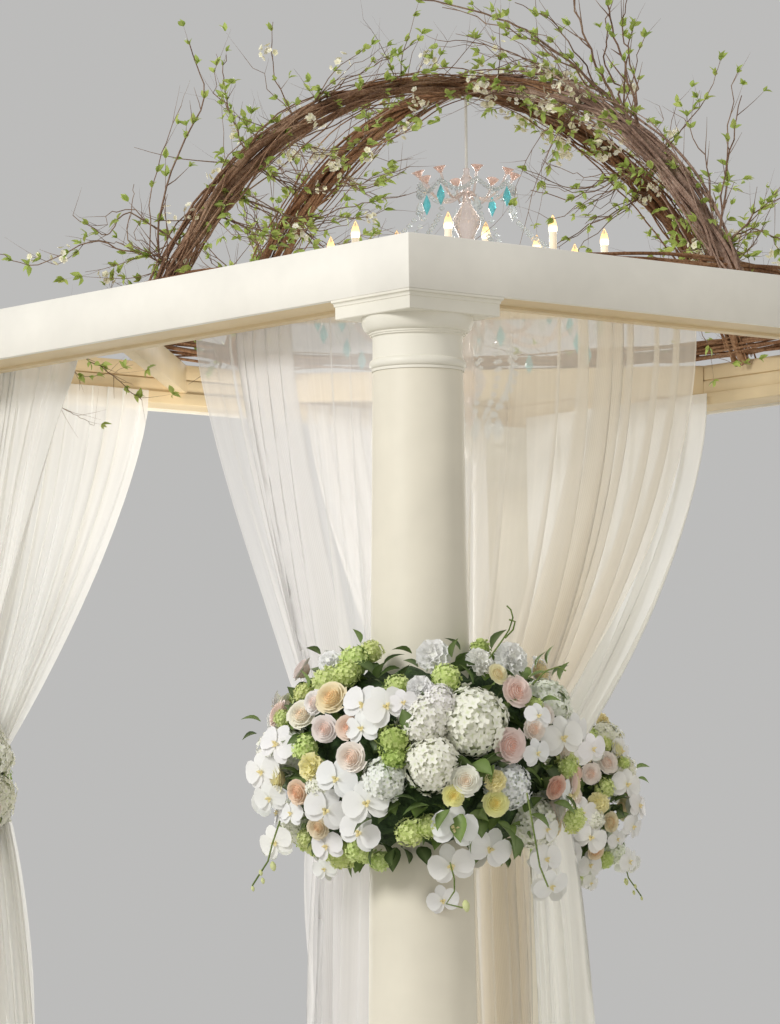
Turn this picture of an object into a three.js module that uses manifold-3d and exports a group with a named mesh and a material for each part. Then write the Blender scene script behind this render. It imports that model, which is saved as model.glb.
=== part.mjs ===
// Chuppah canopy: four tapered columns carry a square frame of boards, hung with
// eight tied-back sheer curtains, four flower collars, a dome of vines and a chandelier.
// Millimetres, +Z up, +X right, +Y to the back. The origin is on the ground at the
// centre of the plan.

import * as THREE from "three";
import { mergeVertices } from "three/addons/utils/BufferGeometryUtils.js";
import Module from "manifold-3d";

// Whole canopy
const HALF_WIDTH = 1300;
const FRAME_UNDERSIDE = 3048;
const FIT_GAP = 0.3;

// Columns
const COLUMN_INSET = 157;
const COLUMN_AXIS = HALF_WIDTH - COLUMN_INSET;
const ROUND_SIDES = 20;
const PLINTH_WIDTH = 390;
const PLINTH_HEIGHT = 62;
const TORUS_HEIGHT = 56;
const TORUS_RADIUS = 184;
const TORUS_BULGE = 18;
const BASE_FILLET_HEIGHT = 16;
const BASE_FILLET_RADIUS = 158;
const BASE_HEIGHT = PLINTH_HEIGHT + TORUS_HEIGHT + BASE_FILLET_HEIGHT;
const SHAFT_BOTTOM_RADIUS = 143;
const SHAFT_TOP_RADIUS = 115.5;
const SHAFT_FOOT_FLARE = 9;
const SHAFT_FOOT_HEIGHT = 40;
const TAPER_START = 700;
const CAPITAL_HEIGHT = 189;
const SHAFT_TOP = FRAME_UNDERSIDE - CAPITAL_HEIGHT;
const NECK_RADIUS = 115;
const LOWER_FILLET_RADIUS = 118.5;
const UPPER_FILLET_RADIUS = 120.5;
const FILLET_HEIGHT = 7;
const BEAD_RADIUS = 123.5;
const BEAD_HEIGHT = 24;
const ECHINUS_RADIUS = 143.5;
const ECHINUS_HEIGHT = 39;
const ABACUS_WIDTH = 298;
const ABACUS_HEIGHT = 50;
const COVE_DEPTH = 4;
const CAP_WIDTH = 2 * COLUMN_INSET;
const CAP_HEIGHT = 7;

// Frame boards
const FASCIA_HEIGHT = 140;
const FASCIA_THICKNESS = 19;
const BEAM_WIDTH = 200;
const BEAM_INNER = HALF_WIDTH - BEAM_WIDTH;
const INNER_BOARD_THICKNESS = 38;
const INNER_BOARD_HEIGHT = 35;
const SOFFIT_RECESS = 8;
const SOFFIT_THICKNESS = 12;
const RAIL_SETBACK = 8;
const LOWER_RAIL_HEIGHT = 39;
const UPPER_RAIL_HEIGHT = 49;
const RAIL_GROOVE = 4;
const RAIL_GROOVE_DEPTH = 9;
const UPPER_RAIL_SETBACK = 3;
const LEDGE_HEIGHT = FRAME_UNDERSIDE + INNER_BOARD_HEIGHT;
const RAIL_TOP = LEDGE_HEIGHT + FIT_GAP + LOWER_RAIL_HEIGHT + UPPER_RAIL_HEIGHT;

// Corner braces, at 45 degrees across each corner
const BRACE_REACH = 1319;
const BRACE_THICKNESS = 38;
const BRACE_TOP = RAIL_TOP;

// Vine dome
const RING_RADIUS = 1078;
const RING_THICKNESS = 80;
const RING_HEIGHT = BRACE_TOP + FIT_GAP + RING_THICKNESS / 2;
const HOOP_RADIUS = 1212;
const HOOP_THICKNESS = 114;
const HOOP_TOP_SHARE = 0.62;
const DOME_APEX = 3890;
const HOOP_CENTRE_HEIGHT = DOME_APEX - HOOP_RADIUS;
const LEAF_LENGTH = 62;
const LEAF_WIDTH = 26;
const LEAF_THICKNESS = 7;
const LEAF_SPACING = 82;
const LEAF_RAKE = 0.6;
const GOLDEN_ANGLE = Math.PI * (3 - Math.sqrt(5));
const SHOOT_BARK = 3;

// The long shoots, seen from near the front right corner: the leg that each grows on, its
// thickness, how many centimetres its tip leans towards that corner, and its points as
// centimetres across to the right and up from the ground
const VIEW = THREE.MathUtils.degToRad(-40.5);
const SHOOTS = [
  ["front", 7, 4, [[-80, 327], [-85, 332], [-81, 354], [-72, 374], [-76, 388]]],
  ["front", 4, 6, [[-82, 328], [-93, 334], [-92, 342], [-91, 349]]],
  ["front", 5, 0, [[-81, 328], [-92, 331], [-104, 334], [-118, 328], [-130, 331]]],
  ["front", 5, -5, [[-61, 361], [-65, 370], [-68, 381], [-67, 390]]],
  ["front", 4, 3, [[-49, 374], [-54, 386], [-54, 400]]],
  ["front", 4, 8, [[-44, 376], [-37, 386], [-26, 393]]],
  ["front", 4, -4, [[-42, 378], [-32, 386], [-22, 391], [-14, 396]]],
  ["front", 4, 5, [[-14, 386], [-10, 391], [-5, 399]]],
  ["front", 5, -12, [[-61, 359], [-47, 352], [-33, 353], [-16, 359]]],
  ["front", 5, -20, [[-67, 350], [-47, 343], [-34, 347], [-23, 350]]],
  ["front", 4, -10, [[-71, 344], [-55, 338], [-41, 341]]],
  ["front", 4, -15, [[-54, 369], [-42, 364], [-28, 366], [-12, 372]]],
  ["front", 5, 6, [[-79, 333], [-93, 342], [-99, 336], [-108, 341]]],
  ["left", 5, 10, [[-40, 371], [-30, 366], [-18, 371]]],
  ["left", 4, 18, [[-53, 359], [-40, 349], [-27, 352], [-10, 348]]],
  ["left", 4, -6, [[-57, 353], [-66, 362], [-72, 373]]],
  ["left", 4, -8, [[-24, 384], [-30, 392], [-26, 400]]],
  ["left", 6, -28, [[-61, 345], [-67, 357], [-69, 371]]],
  ["left", 5, -30, [[-67, 333], [-75, 338], [-84, 336], [-91, 340]]],
  ["left", 5, -16, [[-46, 366], [-54, 379], [-56, 393]]],
  ["left", 4, -24, [[-63, 340], [-52, 346], [-44, 356]]],
  ["left", 5, 18, [[-64, 339], [-76, 349], [-83, 362]]],
  ["right", 8, 4, [[44, 372], [34, 382], [20, 393], [6, 400], [-17, 405], [-28, 409]]],
  ["right", 6, 8, [[39, 377], [32, 388], [24, 398], [14, 403]]],
  ["right", 9, -3, [[46, 369], [39, 380], [34, 392], [31, 403], [30, 418]]],
  ["right", 9, 3, [[48, 367], [45, 382], [41, 394], [40, 403], [41, 421]]],
  ["right", 6, 6, [[44, 371], [45, 386], [47, 395]]],
  ["right", 5, -8, [[28, 384], [20, 390], [6, 396], [-8, 398]]],
  ["right", 7, 5, [[69, 334], [72, 355], [75, 370]]],
  ["right", 6, -5, [[67, 334], [66, 352], [60, 366]]],
  ["right", 5, 0, [[69, 331], [79, 334], [86, 331], [95, 335]]],
  ["right", 5, 8, [[69, 328], [80, 339], [88, 342]]],
  ["right", 4, -18, [[32, 378], [22, 362], [15, 339]]],
  ["right", 5, -14, [[57, 356], [44, 352], [30, 347], [18, 350]]],
  ["right", 4, 10, [[55, 359], [66, 372], [70, 382]]],
  ["back", 5, 12, [[50, 373], [35, 364], [18, 369]]],
  ["back", 5, 16, [[54, 364], [39, 355], [25, 346]]],
  ["back", 5, -4, [[67, 349], [76, 353], [84, 349]]],
  ["back", 4, -8, [[30, 384], [36, 393], [34, 402]]],
  ["back", 6, -26, [[71, 345], [76, 357], [76, 371]]],
  ["back", 5, -30, [[78, 333], [87, 338], [96, 336], [103, 341]]],
  ["back", 5, -14, [[54, 366], [60, 380], [64, 394]]],
  ["back", 4, -24, [[74, 340], [64, 347], [52, 353]]],
  ["back", 5, 20, [[74, 340], [86, 350], [92, 362]]],
];

// Chandelier
const CORD_RADIUS = 4;
const CHANDELIER_TOP = 3650;
const CHANDELIER_BOTTOM = 2894;
const HUB_HEIGHT = 3250;
const HUB_RADIUS = 48;
const STEM_RADIUS = 14;
const BALUSTER_RADIUS = 52;
const ARM_THICKNESS = 14;
const ARM_SAG = 84;
const PAN_HEIGHT = 3320;
const PAN_RADIUS = 42;
const PAN_DEPTH = 14;
const CANDLE_RADIUS = 11;
const FLAME_HEIGHT = 55;
const FLAME_TOP = 3465;
const CROWN_HEIGHT = 3610;
const CROWN_RADIUS = 130;
const CROWN_NECK = 17.5;
const CROWN_BORE = CROWN_NECK + 1;
const CROWN_FLARE = 6;
const CROWN_WALL = 14;
const CROWN_DROP = 62;
// Two rings of arms: how many, how far they reach, and the first one's angle in degrees
const ARM_RINGS = [
  { count: 8, reach: 400, turn: -3 },
  { count: 4, reach: 210, turn: 64.5 },
];

// Curtains
const CURTAIN_TOP = LEDGE_HEIGHT - 3;
const HEAD_BOTTOM = FRAME_UNDERSIDE - 2;
const CURTAIN_START = 163;
const CURTAIN_HEM = 12;
const HEAD_THICKNESS = 46;
const WAIST_HEIGHT = 1886;
const WAIST_NEAR = 150;
const WAIST_THICKNESS = 92;
const WAIST_OFFSET = 18;
const HEM_NEAR = 200;
const HEM_THICKNESS = 130;
const FLARE_CURVE = 0.4;
const CURTAIN_SIDES = 12;
const CURTAIN_ROWS_ABOVE = 8;
const CURTAIN_ROWS_BELOW = 3;
// How far each free edge lies from the column's axis under the beam, at the waist and at the
// hem. The curve is how late the edge comes in on its way down to the waist.
const CURTAINS = [
  { side: "front", end: "right", edge: { reach: 1022, waist: 450, hem: 540, curve: 1.27 } },
  { side: "front", end: "left", edge: { reach: 730, waist: 205, hem: 420, curve: 0.8 } },
  { side: "right", end: "front", edge: { reach: 1035, waist: 395, hem: 400, curve: 1.8 } },
  { side: "right", end: "back", edge: { reach: 900, waist: 335, hem: 520, curve: 1.4 } },
  { side: "back", end: "right", edge: { reach: 850, waist: 335, hem: 520, curve: 1.4 } },
  { side: "back", end: "left", edge: { reach: 1000, waist: 205, hem: 480, curve: 1.6 } },
  { side: "left", end: "back", edge: { reach: 880, waist: 335, hem: 520, curve: 1.4 } },
  { side: "left", end: "front", edge: { reach: 790, waist: 205, hem: 480, curve: 1.4 } },
];

// Flower collars
const COLLAR_HEIGHT = 1876;
const COLLAR_RADIUS = 430;
const COLLAR_HALF_HEIGHT = 300;
const COLLAR_INNER_SHARE = 0.64;
const COLLAR_SIDES = 16;
const COLLAR_ROWS = 7;

// Outward direction of each side, and the corner where two sides meet
const SIDES = {
  front: [0, -1],
  right: [1, 0],
  back: [0, 1],
  left: [-1, 0],
};
const CORNERS = [
  ["front", "right"],
  ["front", "left"],
  ["back", "right"],
  ["back", "left"],
];

const wasm = await Module();
wasm.setup();

const canopy = new THREE.Group();

const PAINT = { color: "#f3ecd9", roughness: 0.45, metalness: 0 };
const SHEER = { color: "#f2efe6", roughness: 0.8, metalness: 0 };
const BARK = { color: "#6b5240", roughness: 0.85, metalness: 0 };
const CRYSTAL = { color: "#dfe6ea", roughness: 0.1, metalness: 0 };
const BLOOM = { color: "#eef0e2", roughness: 0.7, metalness: 0 };
const CORD = { color: "#f6f4ee", roughness: 0.7, metalness: 0 };

function addPiece(name, geometry, finish) {
  const mesh = new THREE.Mesh(geometry, new THREE.MeshStandardMaterial(finish));
  mesh.name = name;
  canopy.add(mesh);
  return mesh;
}

// Solids that are joined or cut

function toSolid(geometry) {
  const bare = geometry.clone();
  bare.deleteAttribute("normal");
  bare.deleteAttribute("uv");
  const merged = mergeVertices(bare, 1e-3);
  return new wasm.Manifold(new wasm.Mesh({
    numProp: 3,
    vertProperties: new Float32Array(merged.attributes.position.array),
    triVerts: new Uint32Array(merged.index.array),
  }));
}

function toGeometry(solid) {
  const mesh = solid.getMesh();
  const geometry = new THREE.BufferGeometry();
  geometry.setAttribute("position", new THREE.BufferAttribute(mesh.vertProperties, 3));
  geometry.setIndex(new THREE.BufferAttribute(mesh.triVerts, 1));
  return geometry;
}

function join(geometries) {
  const solids = geometries.map(toSolid);
  return toGeometry(solids.reduce((whole, piece) => whole.add(piece)));
}

// A round turning about the vertical axis, from [radius, height] pairs
function turned(profile, sides = ROUND_SIDES) {
  const points = profile.map(([radius, height]) => new THREE.Vector2(radius, height));
  const geometry = new THREE.LatheGeometry(points, sides);
  return geometry.rotateX(Math.PI / 2);
}

// The same for a square block, where a radius is half the width
function squareTurned(profile) {
  const widened = profile.map(([half, height]) => [half * Math.SQRT2, height]);
  return turned(widened, 4).rotateZ(Math.PI / 4);
}

function tubeAlong(curve, thickness, sides, steps) {
  const section = new THREE.Shape();
  for (let i = 0; i < sides; i += 1) {
    const angle = (i / sides) * 2 * Math.PI;
    const x = (thickness / 2) * Math.cos(angle);
    const y = (thickness / 2) * Math.sin(angle);
    if (i === 0) section.moveTo(x, y);
    else section.lineTo(x, y);
  }
  section.closePath();
  return new THREE.ExtrudeGeometry(section, { steps, bevelEnabled: false, extrudePath: curve });
}

// Columns

// Points of a half round that bulges outwards between two heights
function halfRound(radius, bulge, bottom, height, steps) {
  const points = [];
  for (let i = 1; i < steps; i += 1) {
    const angle = -Math.PI / 2 + (i / steps) * Math.PI;
    points.push([radius + bulge * Math.cos(angle), bottom + (height / 2) * (1 + Math.sin(angle))]);
  }
  return points;
}

function columnBase() {
  const inner = TORUS_RADIUS - TORUS_BULGE;
  const profile = [[0, PLINTH_HEIGHT / 2], [inner, PLINTH_HEIGHT / 2], [inner, PLINTH_HEIGHT]];
  profile.push(...halfRound(inner, TORUS_BULGE, PLINTH_HEIGHT, TORUS_HEIGHT, 6));
  const filletBottom = BASE_HEIGHT - BASE_FILLET_HEIGHT;
  profile.push([BASE_FILLET_RADIUS, filletBottom], [BASE_FILLET_RADIUS, BASE_HEIGHT]);
  profile.push([0, BASE_HEIGHT]);
  const plinth = new THREE.BoxGeometry(PLINTH_WIDTH, PLINTH_WIDTH, PLINTH_HEIGHT);
  plinth.translate(0, 0, PLINTH_HEIGHT / 2);
  return join([plinth, turned(profile)]);
}

// The shaft is straight up to the start of the taper, and then narrows evenly
function shaftRadius(height) {
  const share = Math.max(0, (height - TAPER_START) / (SHAFT_TOP - TAPER_START));
  return SHAFT_BOTTOM_RADIUS - (SHAFT_BOTTOM_RADIUS - SHAFT_TOP_RADIUS) * share;
}

function columnShaft(grow = 0) {
  const bottom = BASE_HEIGHT + FIT_GAP;
  const top = SHAFT_TOP - FIT_GAP;
  const flared = SHAFT_BOTTOM_RADIUS + SHAFT_FOOT_FLARE;
  const eased = SHAFT_BOTTOM_RADIUS + SHAFT_FOOT_FLARE / 4;
  const profile = [[0, bottom], [flared + grow, bottom]];
  profile.push([eased + grow, bottom + SHAFT_FOOT_HEIGHT * 0.3]);
  profile.push([SHAFT_BOTTOM_RADIUS + grow, bottom + SHAFT_FOOT_HEIGHT]);
  profile.push([shaftRadius(TAPER_START) + grow, TAPER_START]);
  profile.push([shaftRadius(top) + grow, top]);
  profile.push([0, top]);
  return turned(profile);
}

function columnCapital() {
  const top = FRAME_UNDERSIDE - FIT_GAP;
  const bead = SHAFT_TOP + FILLET_HEIGHT;
  const neck = bead + BEAD_HEIGHT;
  const abacus = top - ABACUS_HEIGHT;
  const echinus = abacus - ECHINUS_HEIGHT;
  const fillet = echinus - FILLET_HEIGHT;
  const profile = [[0, SHAFT_TOP], [LOWER_FILLET_RADIUS, SHAFT_TOP], [LOWER_FILLET_RADIUS, bead]];
  profile.push(...halfRound(NECK_RADIUS, BEAD_RADIUS - NECK_RADIUS, bead, BEAD_HEIGHT, 4));
  profile.push([NECK_RADIUS, neck], [NECK_RADIUS, fillet]);
  profile.push([UPPER_FILLET_RADIUS, fillet], [UPPER_FILLET_RADIUS, echinus]);
  const steps = 4;
  for (let i = 0; i <= steps; i += 1) {
    const angle = (i / steps) * (Math.PI / 2);
    const radius = BEAD_RADIUS + (ECHINUS_RADIUS - BEAD_RADIUS) * Math.sin(angle);
    profile.push([radius, echinus + ECHINUS_HEIGHT * (1 - Math.cos(angle))]);
  }
  profile.push([ECHINUS_RADIUS, abacus + CAP_HEIGHT], [0, abacus + CAP_HEIGHT]);
  const half = ABACUS_WIDTH / 2;
  const capHalf = CAP_WIDTH / 2;
  const cove = top - 2 * CAP_HEIGHT;
  const block = [[0, abacus], [half, abacus], [half, cove], [half + COVE_DEPTH, top - CAP_HEIGHT]];
  block.push([capHalf, top - CAP_HEIGHT], [capHalf, top], [0, top]);
  return join([turned(profile), squareTurned(block)]);
}

function atCorner(geometry, [first, second]) {
  const x = SIDES[first][0] + SIDES[second][0];
  const y = SIDES[first][1] + SIDES[second][1];
  return geometry.clone().translate(x * COLUMN_AXIS, y * COLUMN_AXIS, 0);
}

function addColumns() {
  const base = columnBase();
  const shaft = columnShaft();
  const capital = columnCapital();
  for (const corner of CORNERS) {
    const name = corner.join("_");
    addPiece(`${name}_column_base`, atCorner(base, corner), PAINT);
    addPiece(`${name}_column_shaft`, atCorner(shaft, corner), PAINT);
    addPiece(`${name}_column_capital`, atCorner(capital, corner), PAINT);
  }
}

// Frame: every board runs the length of a side and is mitred at both ends

// Turns a piece made for the back, where outward is +Y, to another side
function turnToSide(geometry, side) {
  const [x, y] = SIDES[side];
  return geometry.clone().rotateZ(Math.atan2(y, x) - Math.PI / 2);
}

// Outline points are [distance out from the plan's centre, height]
function mitredBoard(outline) {
  const section = new THREE.Shape(outline.map(([out, height]) => new THREE.Vector2(out, height)));
  const geometry = new THREE.ExtrudeGeometry(section, { depth: 1, bevelEnabled: false });
  const position = geometry.attributes.position;
  for (let i = 0; i < position.count; i += 1) {
    const out = position.getX(i);
    const height = position.getY(i);
    const end = position.getZ(i) > 0.5 ? 1 : -1;
    position.setXYZ(i, end * (out - FIT_GAP), out, height);
  }
  return geometry;
}

function fasciaOutline() {
  const back = HALF_WIDTH - FASCIA_THICKNESS;
  const top = FRAME_UNDERSIDE + FASCIA_HEIGHT;
  return [[back, FRAME_UNDERSIDE], [HALF_WIDTH, FRAME_UNDERSIDE], [HALF_WIDTH, top], [back, top]];
}

function soffitOutline() {
  const inner = BEAM_INNER;
  const step = BEAM_INNER + INNER_BOARD_THICKNESS;
  const outer = HALF_WIDTH - FASCIA_THICKNESS - FIT_GAP;
  const low = FRAME_UNDERSIDE + SOFFIT_RECESS;
  const high = low + SOFFIT_THICKNESS;
  const outline = [[inner, FRAME_UNDERSIDE], [step, FRAME_UNDERSIDE], [step, low], [outer, low]];
  outline.push([outer, high], [step, high], [step, LEDGE_HEIGHT], [inner, LEDGE_HEIGHT]);
  return outline;
}

function railOutline() {
  const face = BEAM_INNER + RAIL_SETBACK;
  const back = BEAM_INNER + INNER_BOARD_THICKNESS;
  const bottom = LEDGE_HEIGHT + FIT_GAP;
  const groove = bottom + LOWER_RAIL_HEIGHT;
  const top = groove + UPPER_RAIL_HEIGHT;
  const upper = face + UPPER_RAIL_SETBACK;
  const deep = face + RAIL_GROOVE_DEPTH;
  const outline = [[face, bottom], [back, bottom], [back, top], [upper, top]];
  outline.push([upper, groove + RAIL_GROOVE], [deep, groove + RAIL_GROOVE]);
  outline.push([deep, groove], [face, groove]);
  return outline;
}

// The brace's ends are cut to butt against the rails
function cornerBrace() {
  const end = BEAM_INNER + RAIL_SETBACK - FIT_GAP;
  const half = (BRACE_THICKNESS / 2) * Math.SQRT2;
  const near = BRACE_REACH - half - end;
  const far = BRACE_REACH + half - end;
  const outline = [[end, near], [end, far], [far, end], [near, end]];
  const plan = new THREE.Shape(outline.map(([x, y]) => new THREE.Vector2(x, y)));
  const bottom = LEDGE_HEIGHT + FIT_GAP;
  const geometry = new THREE.ExtrudeGeometry(plan, { depth: BRACE_TOP - bottom, bevelEnabled: false });
  return geometry.translate(0, 0, bottom);
}

function addFrame() {
  const fascia = mitredBoard(fasciaOutline());
  const soffit = mitredBoard(soffitOutline());
  const rail = mitredBoard(railOutline());
  for (const side of Object.keys(SIDES)) {
    addPiece(`${side}_fascia`, turnToSide(fascia, side), PAINT);
    addPiece(`${side}_soffit`, turnToSide(soffit, side), PAINT);
    addPiece(`${side}_rail`, turnToSide(rail, side), PAINT);
  }
  for (const [first, second] of CORNERS) {
    const x = SIDES[first][0] + SIDES[second][0];
    const y = SIDES[first][1] + SIDES[second][1];
    const turn = Math.atan2(y, x) - Math.PI / 4;
    addPiece(`${first}_${second}_brace`, cornerBrace().rotateZ(turn), PAINT);
  }
}

// Vine dome: a ring that lies on the braces, and four legs that rise from it and meet
// at the top, with leafy shoots standing out from them

function vineRing(grow = 0) {
  const points = [];
  for (let i = 0; i <= 8; i += 1) {
    const angle = (i / 8) * 2 * Math.PI;
    const radius = RING_THICKNESS / 2 + grow;
    points.push(new THREE.Vector2(RING_RADIUS + radius * Math.cos(angle), radius * Math.sin(angle)));
  }
  return new THREE.LatheGeometry(points, 40).rotateX(Math.PI / 2).translate(0, 0, RING_HEIGHT);
}

// A quarter hoop for the back side, from the ring to just past the top. It narrows upwards
function quarterHoop(grow = 0) {
  const foot = Math.acos((RING_HEIGHT - HOOP_CENTRE_HEIGHT) / HOOP_RADIUS);
  const past = -0.07;
  const points = [];
  for (let i = 0; i <= 12; i += 1) {
    const angle = foot + (past - foot) * (i / 12);
    const height = HOOP_CENTRE_HEIGHT + HOOP_RADIUS * Math.cos(angle);
    points.push(new THREE.Vector3(0, HOOP_RADIUS * Math.sin(angle), height));
  }
  const geometry = tubeAlong(new THREE.CatmullRomCurve3(points), HOOP_THICKNESS, 8, 14);
  const position = geometry.attributes.position;
  for (let i = 0; i < position.count; i += 1) {
    const up = position.getZ(i) - HOOP_CENTRE_HEIGHT;
    const angle = Math.atan2(position.getY(i), up);
    const climb = 1 - Math.max(0, angle) / foot;
    const share = 1 - (1 - HOOP_TOP_SHARE) * climb + (2 * grow) / HOOP_THICKNESS;
    const radius = HOOP_RADIUS + (Math.hypot(position.getY(i), up) - HOOP_RADIUS) * share;
    const height = HOOP_CENTRE_HEIGHT + radius * Math.cos(angle);
    position.setXYZ(i, position.getX(i) * share, radius * Math.sin(angle), height);
  }
  return geometry;
}

// Cuts a leg off at the ring's level, and at the planes where it meets its neighbours
function legRoom() {
  const reach = 2 * HALF_WIDTH;
  const wedge = new THREE.Shape();
  wedge.moveTo(0, FIT_GAP);
  wedge.lineTo(reach - FIT_GAP, reach);
  wedge.lineTo(FIT_GAP - reach, reach);
  const geometry = new THREE.ExtrudeGeometry(wedge, { depth: reach, bevelEnabled: false });
  return toSolid(geometry.translate(0, 0, RING_HEIGHT));
}

// What the vines stay clear of: the ring that carries them, and the chandelier's cord
function vineHole() {
  const radius = CORD_RADIUS + FIT_GAP;
  const top = DOME_APEX + FIT_GAP;
  const cord = turned([[0, CHANDELIER_TOP], [radius, CHANDELIER_TOP], [radius, top], [0, top]], 8);
  return join([vineRing(FIT_GAP), cord]);
}

// A direction on the ground, turned from the direction of the corner view
function fromView(turn) {
  return new THREE.Vector3(Math.cos(VIEW + turn), Math.sin(VIEW + turn), 0);
}

// A shoot's route: its listed points, set as far towards the corner as its leg is
function shootCurve([side, , lean, points]) {
  const across = fromView(Math.PI / 2);
  const toward = fromView(0);
  const outward = new THREE.Vector3(...SIDES[side], 0);
  const start = points[0][0] * (outward.dot(toward) / outward.dot(across));
  const route = points.map(([right, up], i) => {
    const near = start + lean * (i / (points.length - 1));
    const point = new THREE.Vector3(0, 0, up).addScaledVector(across, right);
    return point.addScaledVector(toward, near).multiplyScalar(10);
  });
  return new THREE.CatmullRomCurve3(route);
}

// A leaf that grows out of a point, as a flat closed diamond
function leaf(point, direction, grow) {
  const size = [LEAF_WIDTH, LEAF_THICKNESS, LEAF_LENGTH].map((length) => length + 2 * grow);
  const blade = new THREE.OctahedronGeometry(0.5).scale(...size);
  blade.translate(0, 0, LEAF_LENGTH / 2 - LEAF_THICKNESS);
  const turn = new THREE.Quaternion().setFromUnitVectors(new THREE.Vector3(0, 0, 1), direction);
  return blade.applyQuaternion(turn).translate(point.x, point.y, point.z);
}

// A shoot with its leaves, which stand round it in a spiral
function leafyShoot(shoot, grow = 0) {
  const curve = shootCurve(shoot);
  const thickness = shoot[1] + SHOOT_BARK + 2 * grow;
  const parts = [tubeAlong(curve, thickness, 4, 2 * (shoot[3].length - 1))];
  const count = Math.floor(curve.getLength() / LEAF_SPACING);
  for (let i = 1; i <= count; i += 1) {
    const place = i / (count + 0.3);
    const tangent = curve.getTangentAt(place);
    const side = fromView(0).cross(tangent).normalize();
    side.applyAxisAngle(tangent, i * GOLDEN_ANGLE);
    const direction = side.addScaledVector(tangent, LEAF_RAKE).normalize();
    parts.push(leaf(curve.getPointAt(place), direction, grow));
  }
  return parts;
}

// The shoots are trimmed where they meet another leg or its shoots, and a piece of one that
// is then no longer held by its leg is left out
function addVines() {
  addPiece("vine_ring", vineRing(), BARK);
  const hole = toSolid(vineHole());
  const bare = toGeometry(toSolid(quarterHoop()).intersect(legRoom()).subtract(hole));
  const sides = Object.keys(SIDES);
  let taken = hole;
  for (const side of sides) {
    const shoots = SHOOTS.filter(([leg]) => leg === side);
    let foliage = toSolid(join(shoots.flatMap((shoot) => leafyShoot(shoot)))).subtract(taken);
    for (const other of sides) {
      if (other !== side) {
        foliage = foliage.subtract(toSolid(turnToSide(quarterHoop(FIT_GAP), other)));
      }
    }
    const pieces = toSolid(turnToSide(bare, side)).add(foliage).decompose();
    const leg = pieces.sort((one, two) => two.volume() - one.volume())[0];
    addPiece(`${side}_vine_leg`, toGeometry(leg), BARK);
    taken = taken.add(toSolid(join(shoots.flatMap((shoot) => leafyShoot(shoot, FIT_GAP)))));
  }
}

// Chandelier

function chandelierStem() {
  const profile = [[0, CHANDELIER_BOTTOM], [12, CHANDELIER_BOTTOM + 14], [22, CHANDELIER_BOTTOM + 34]];
  profile.push([10, CHANDELIER_BOTTOM + 60], [46, CHANDELIER_BOTTOM + 110]);
  profile.push([BALUSTER_RADIUS, CHANDELIER_BOTTOM + 140], [STEM_RADIUS, CHANDELIER_BOTTOM + 175]);
  profile.push([STEM_RADIUS, HUB_HEIGHT - 60], [HUB_RADIUS, HUB_HEIGHT - 22], [HUB_RADIUS, HUB_HEIGHT + 22]);
  profile.push([STEM_RADIUS, HUB_HEIGHT + 60], [STEM_RADIUS + 2, HUB_HEIGHT + 170]);
  profile.push([BALUSTER_RADIUS, HUB_HEIGHT + 240], [BALUSTER_RADIUS - 2, HUB_HEIGHT + 258]);
  profile.push([STEM_RADIUS - 2, HUB_HEIGHT + 295], [CROWN_NECK, CROWN_HEIGHT]);
  profile.push([CROWN_NECK, CROWN_HEIGHT + CROWN_WALL], [9, CHANDELIER_TOP - 10]);
  profile.push([9, CHANDELIER_TOP], [0, CHANDELIER_TOP]);
  return turned(profile, 12);
}

function candle() {
  const wax = FLAME_TOP - FLAME_HEIGHT;
  const profile = [[0, PAN_HEIGHT], [PAN_RADIUS / 2, PAN_HEIGHT], [PAN_RADIUS, PAN_HEIGHT + PAN_DEPTH]];
  profile.push([PAN_RADIUS * 0.6, PAN_HEIGHT + PAN_DEPTH - 2], [CANDLE_RADIUS, PAN_HEIGHT + PAN_DEPTH]);
  profile.push([CANDLE_RADIUS, wax], [CANDLE_RADIUS * 1.2, wax + FLAME_HEIGHT * 0.3], [0, FLAME_TOP]);
  return turned(profile, 8);
}

// An arm leaves the hub, sags and turns up to its pan
function chandelierArm(reach, angle) {
  const route = [[0.075, 0], [0.32, -0.86], [0.67, -1], [0.945, -0.2]];
  const points = route.map(([out, sag]) => new THREE.Vector3(out * reach, 0, HUB_HEIGHT + sag * ARM_SAG));
  points.push(new THREE.Vector3(reach, 0, PAN_HEIGHT + PAN_DEPTH / 3));
  const arm = tubeAlong(new THREE.CatmullRomCurve3(points), ARM_THICKNESS, 6, 7);
  return toSolid(arm).add(toSolid(candle().translate(reach, 0, 0))).rotate([0, 0, angle]);
}

function chandelierFrame() {
  let frame = toSolid(chandelierStem());
  for (const { count, reach, turn } of ARM_RINGS) {
    for (let i = 0; i < count; i += 1) {
      frame = frame.add(chandelierArm(reach, (i / count) * 360 + turn));
    }
  }
  return toGeometry(frame);
}

// The crown is a small upper basket of crystal drops round the stem
function chandelierCrown() {
  const top = CROWN_HEIGHT + CROWN_WALL;
  const hem = CROWN_HEIGHT - CROWN_DROP;
  const hemRadius = CROWN_RADIUS + CROWN_FLARE;
  const profile = [[CROWN_BORE, CROWN_HEIGHT], [CROWN_RADIUS, CROWN_HEIGHT], [hemRadius, hem]];
  profile.push([hemRadius + CROWN_WALL, hem], [CROWN_RADIUS + CROWN_WALL, top]);
  profile.push([CROWN_BORE, top], [CROWN_BORE, CROWN_HEIGHT]);
  return turned(profile, 16);
}

function chandelierCord() {
  const bottom = CHANDELIER_TOP + FIT_GAP;
  return turned([[0, bottom], [CORD_RADIUS, bottom], [CORD_RADIUS, DOME_APEX], [0, DOME_APEX]], 8);
}

function addChandelier() {
  addPiece("chandelier_frame", chandelierFrame(), CRYSTAL);
  addPiece("chandelier_crown", chandelierCrown(), CRYSTAL);
  addPiece("chandelier_cord", chandelierCord(), CORD);
}

// Curtains: each hangs from the inner board, is drawn in at the flower collar beside the
// column, and falls to the ground from there

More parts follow.
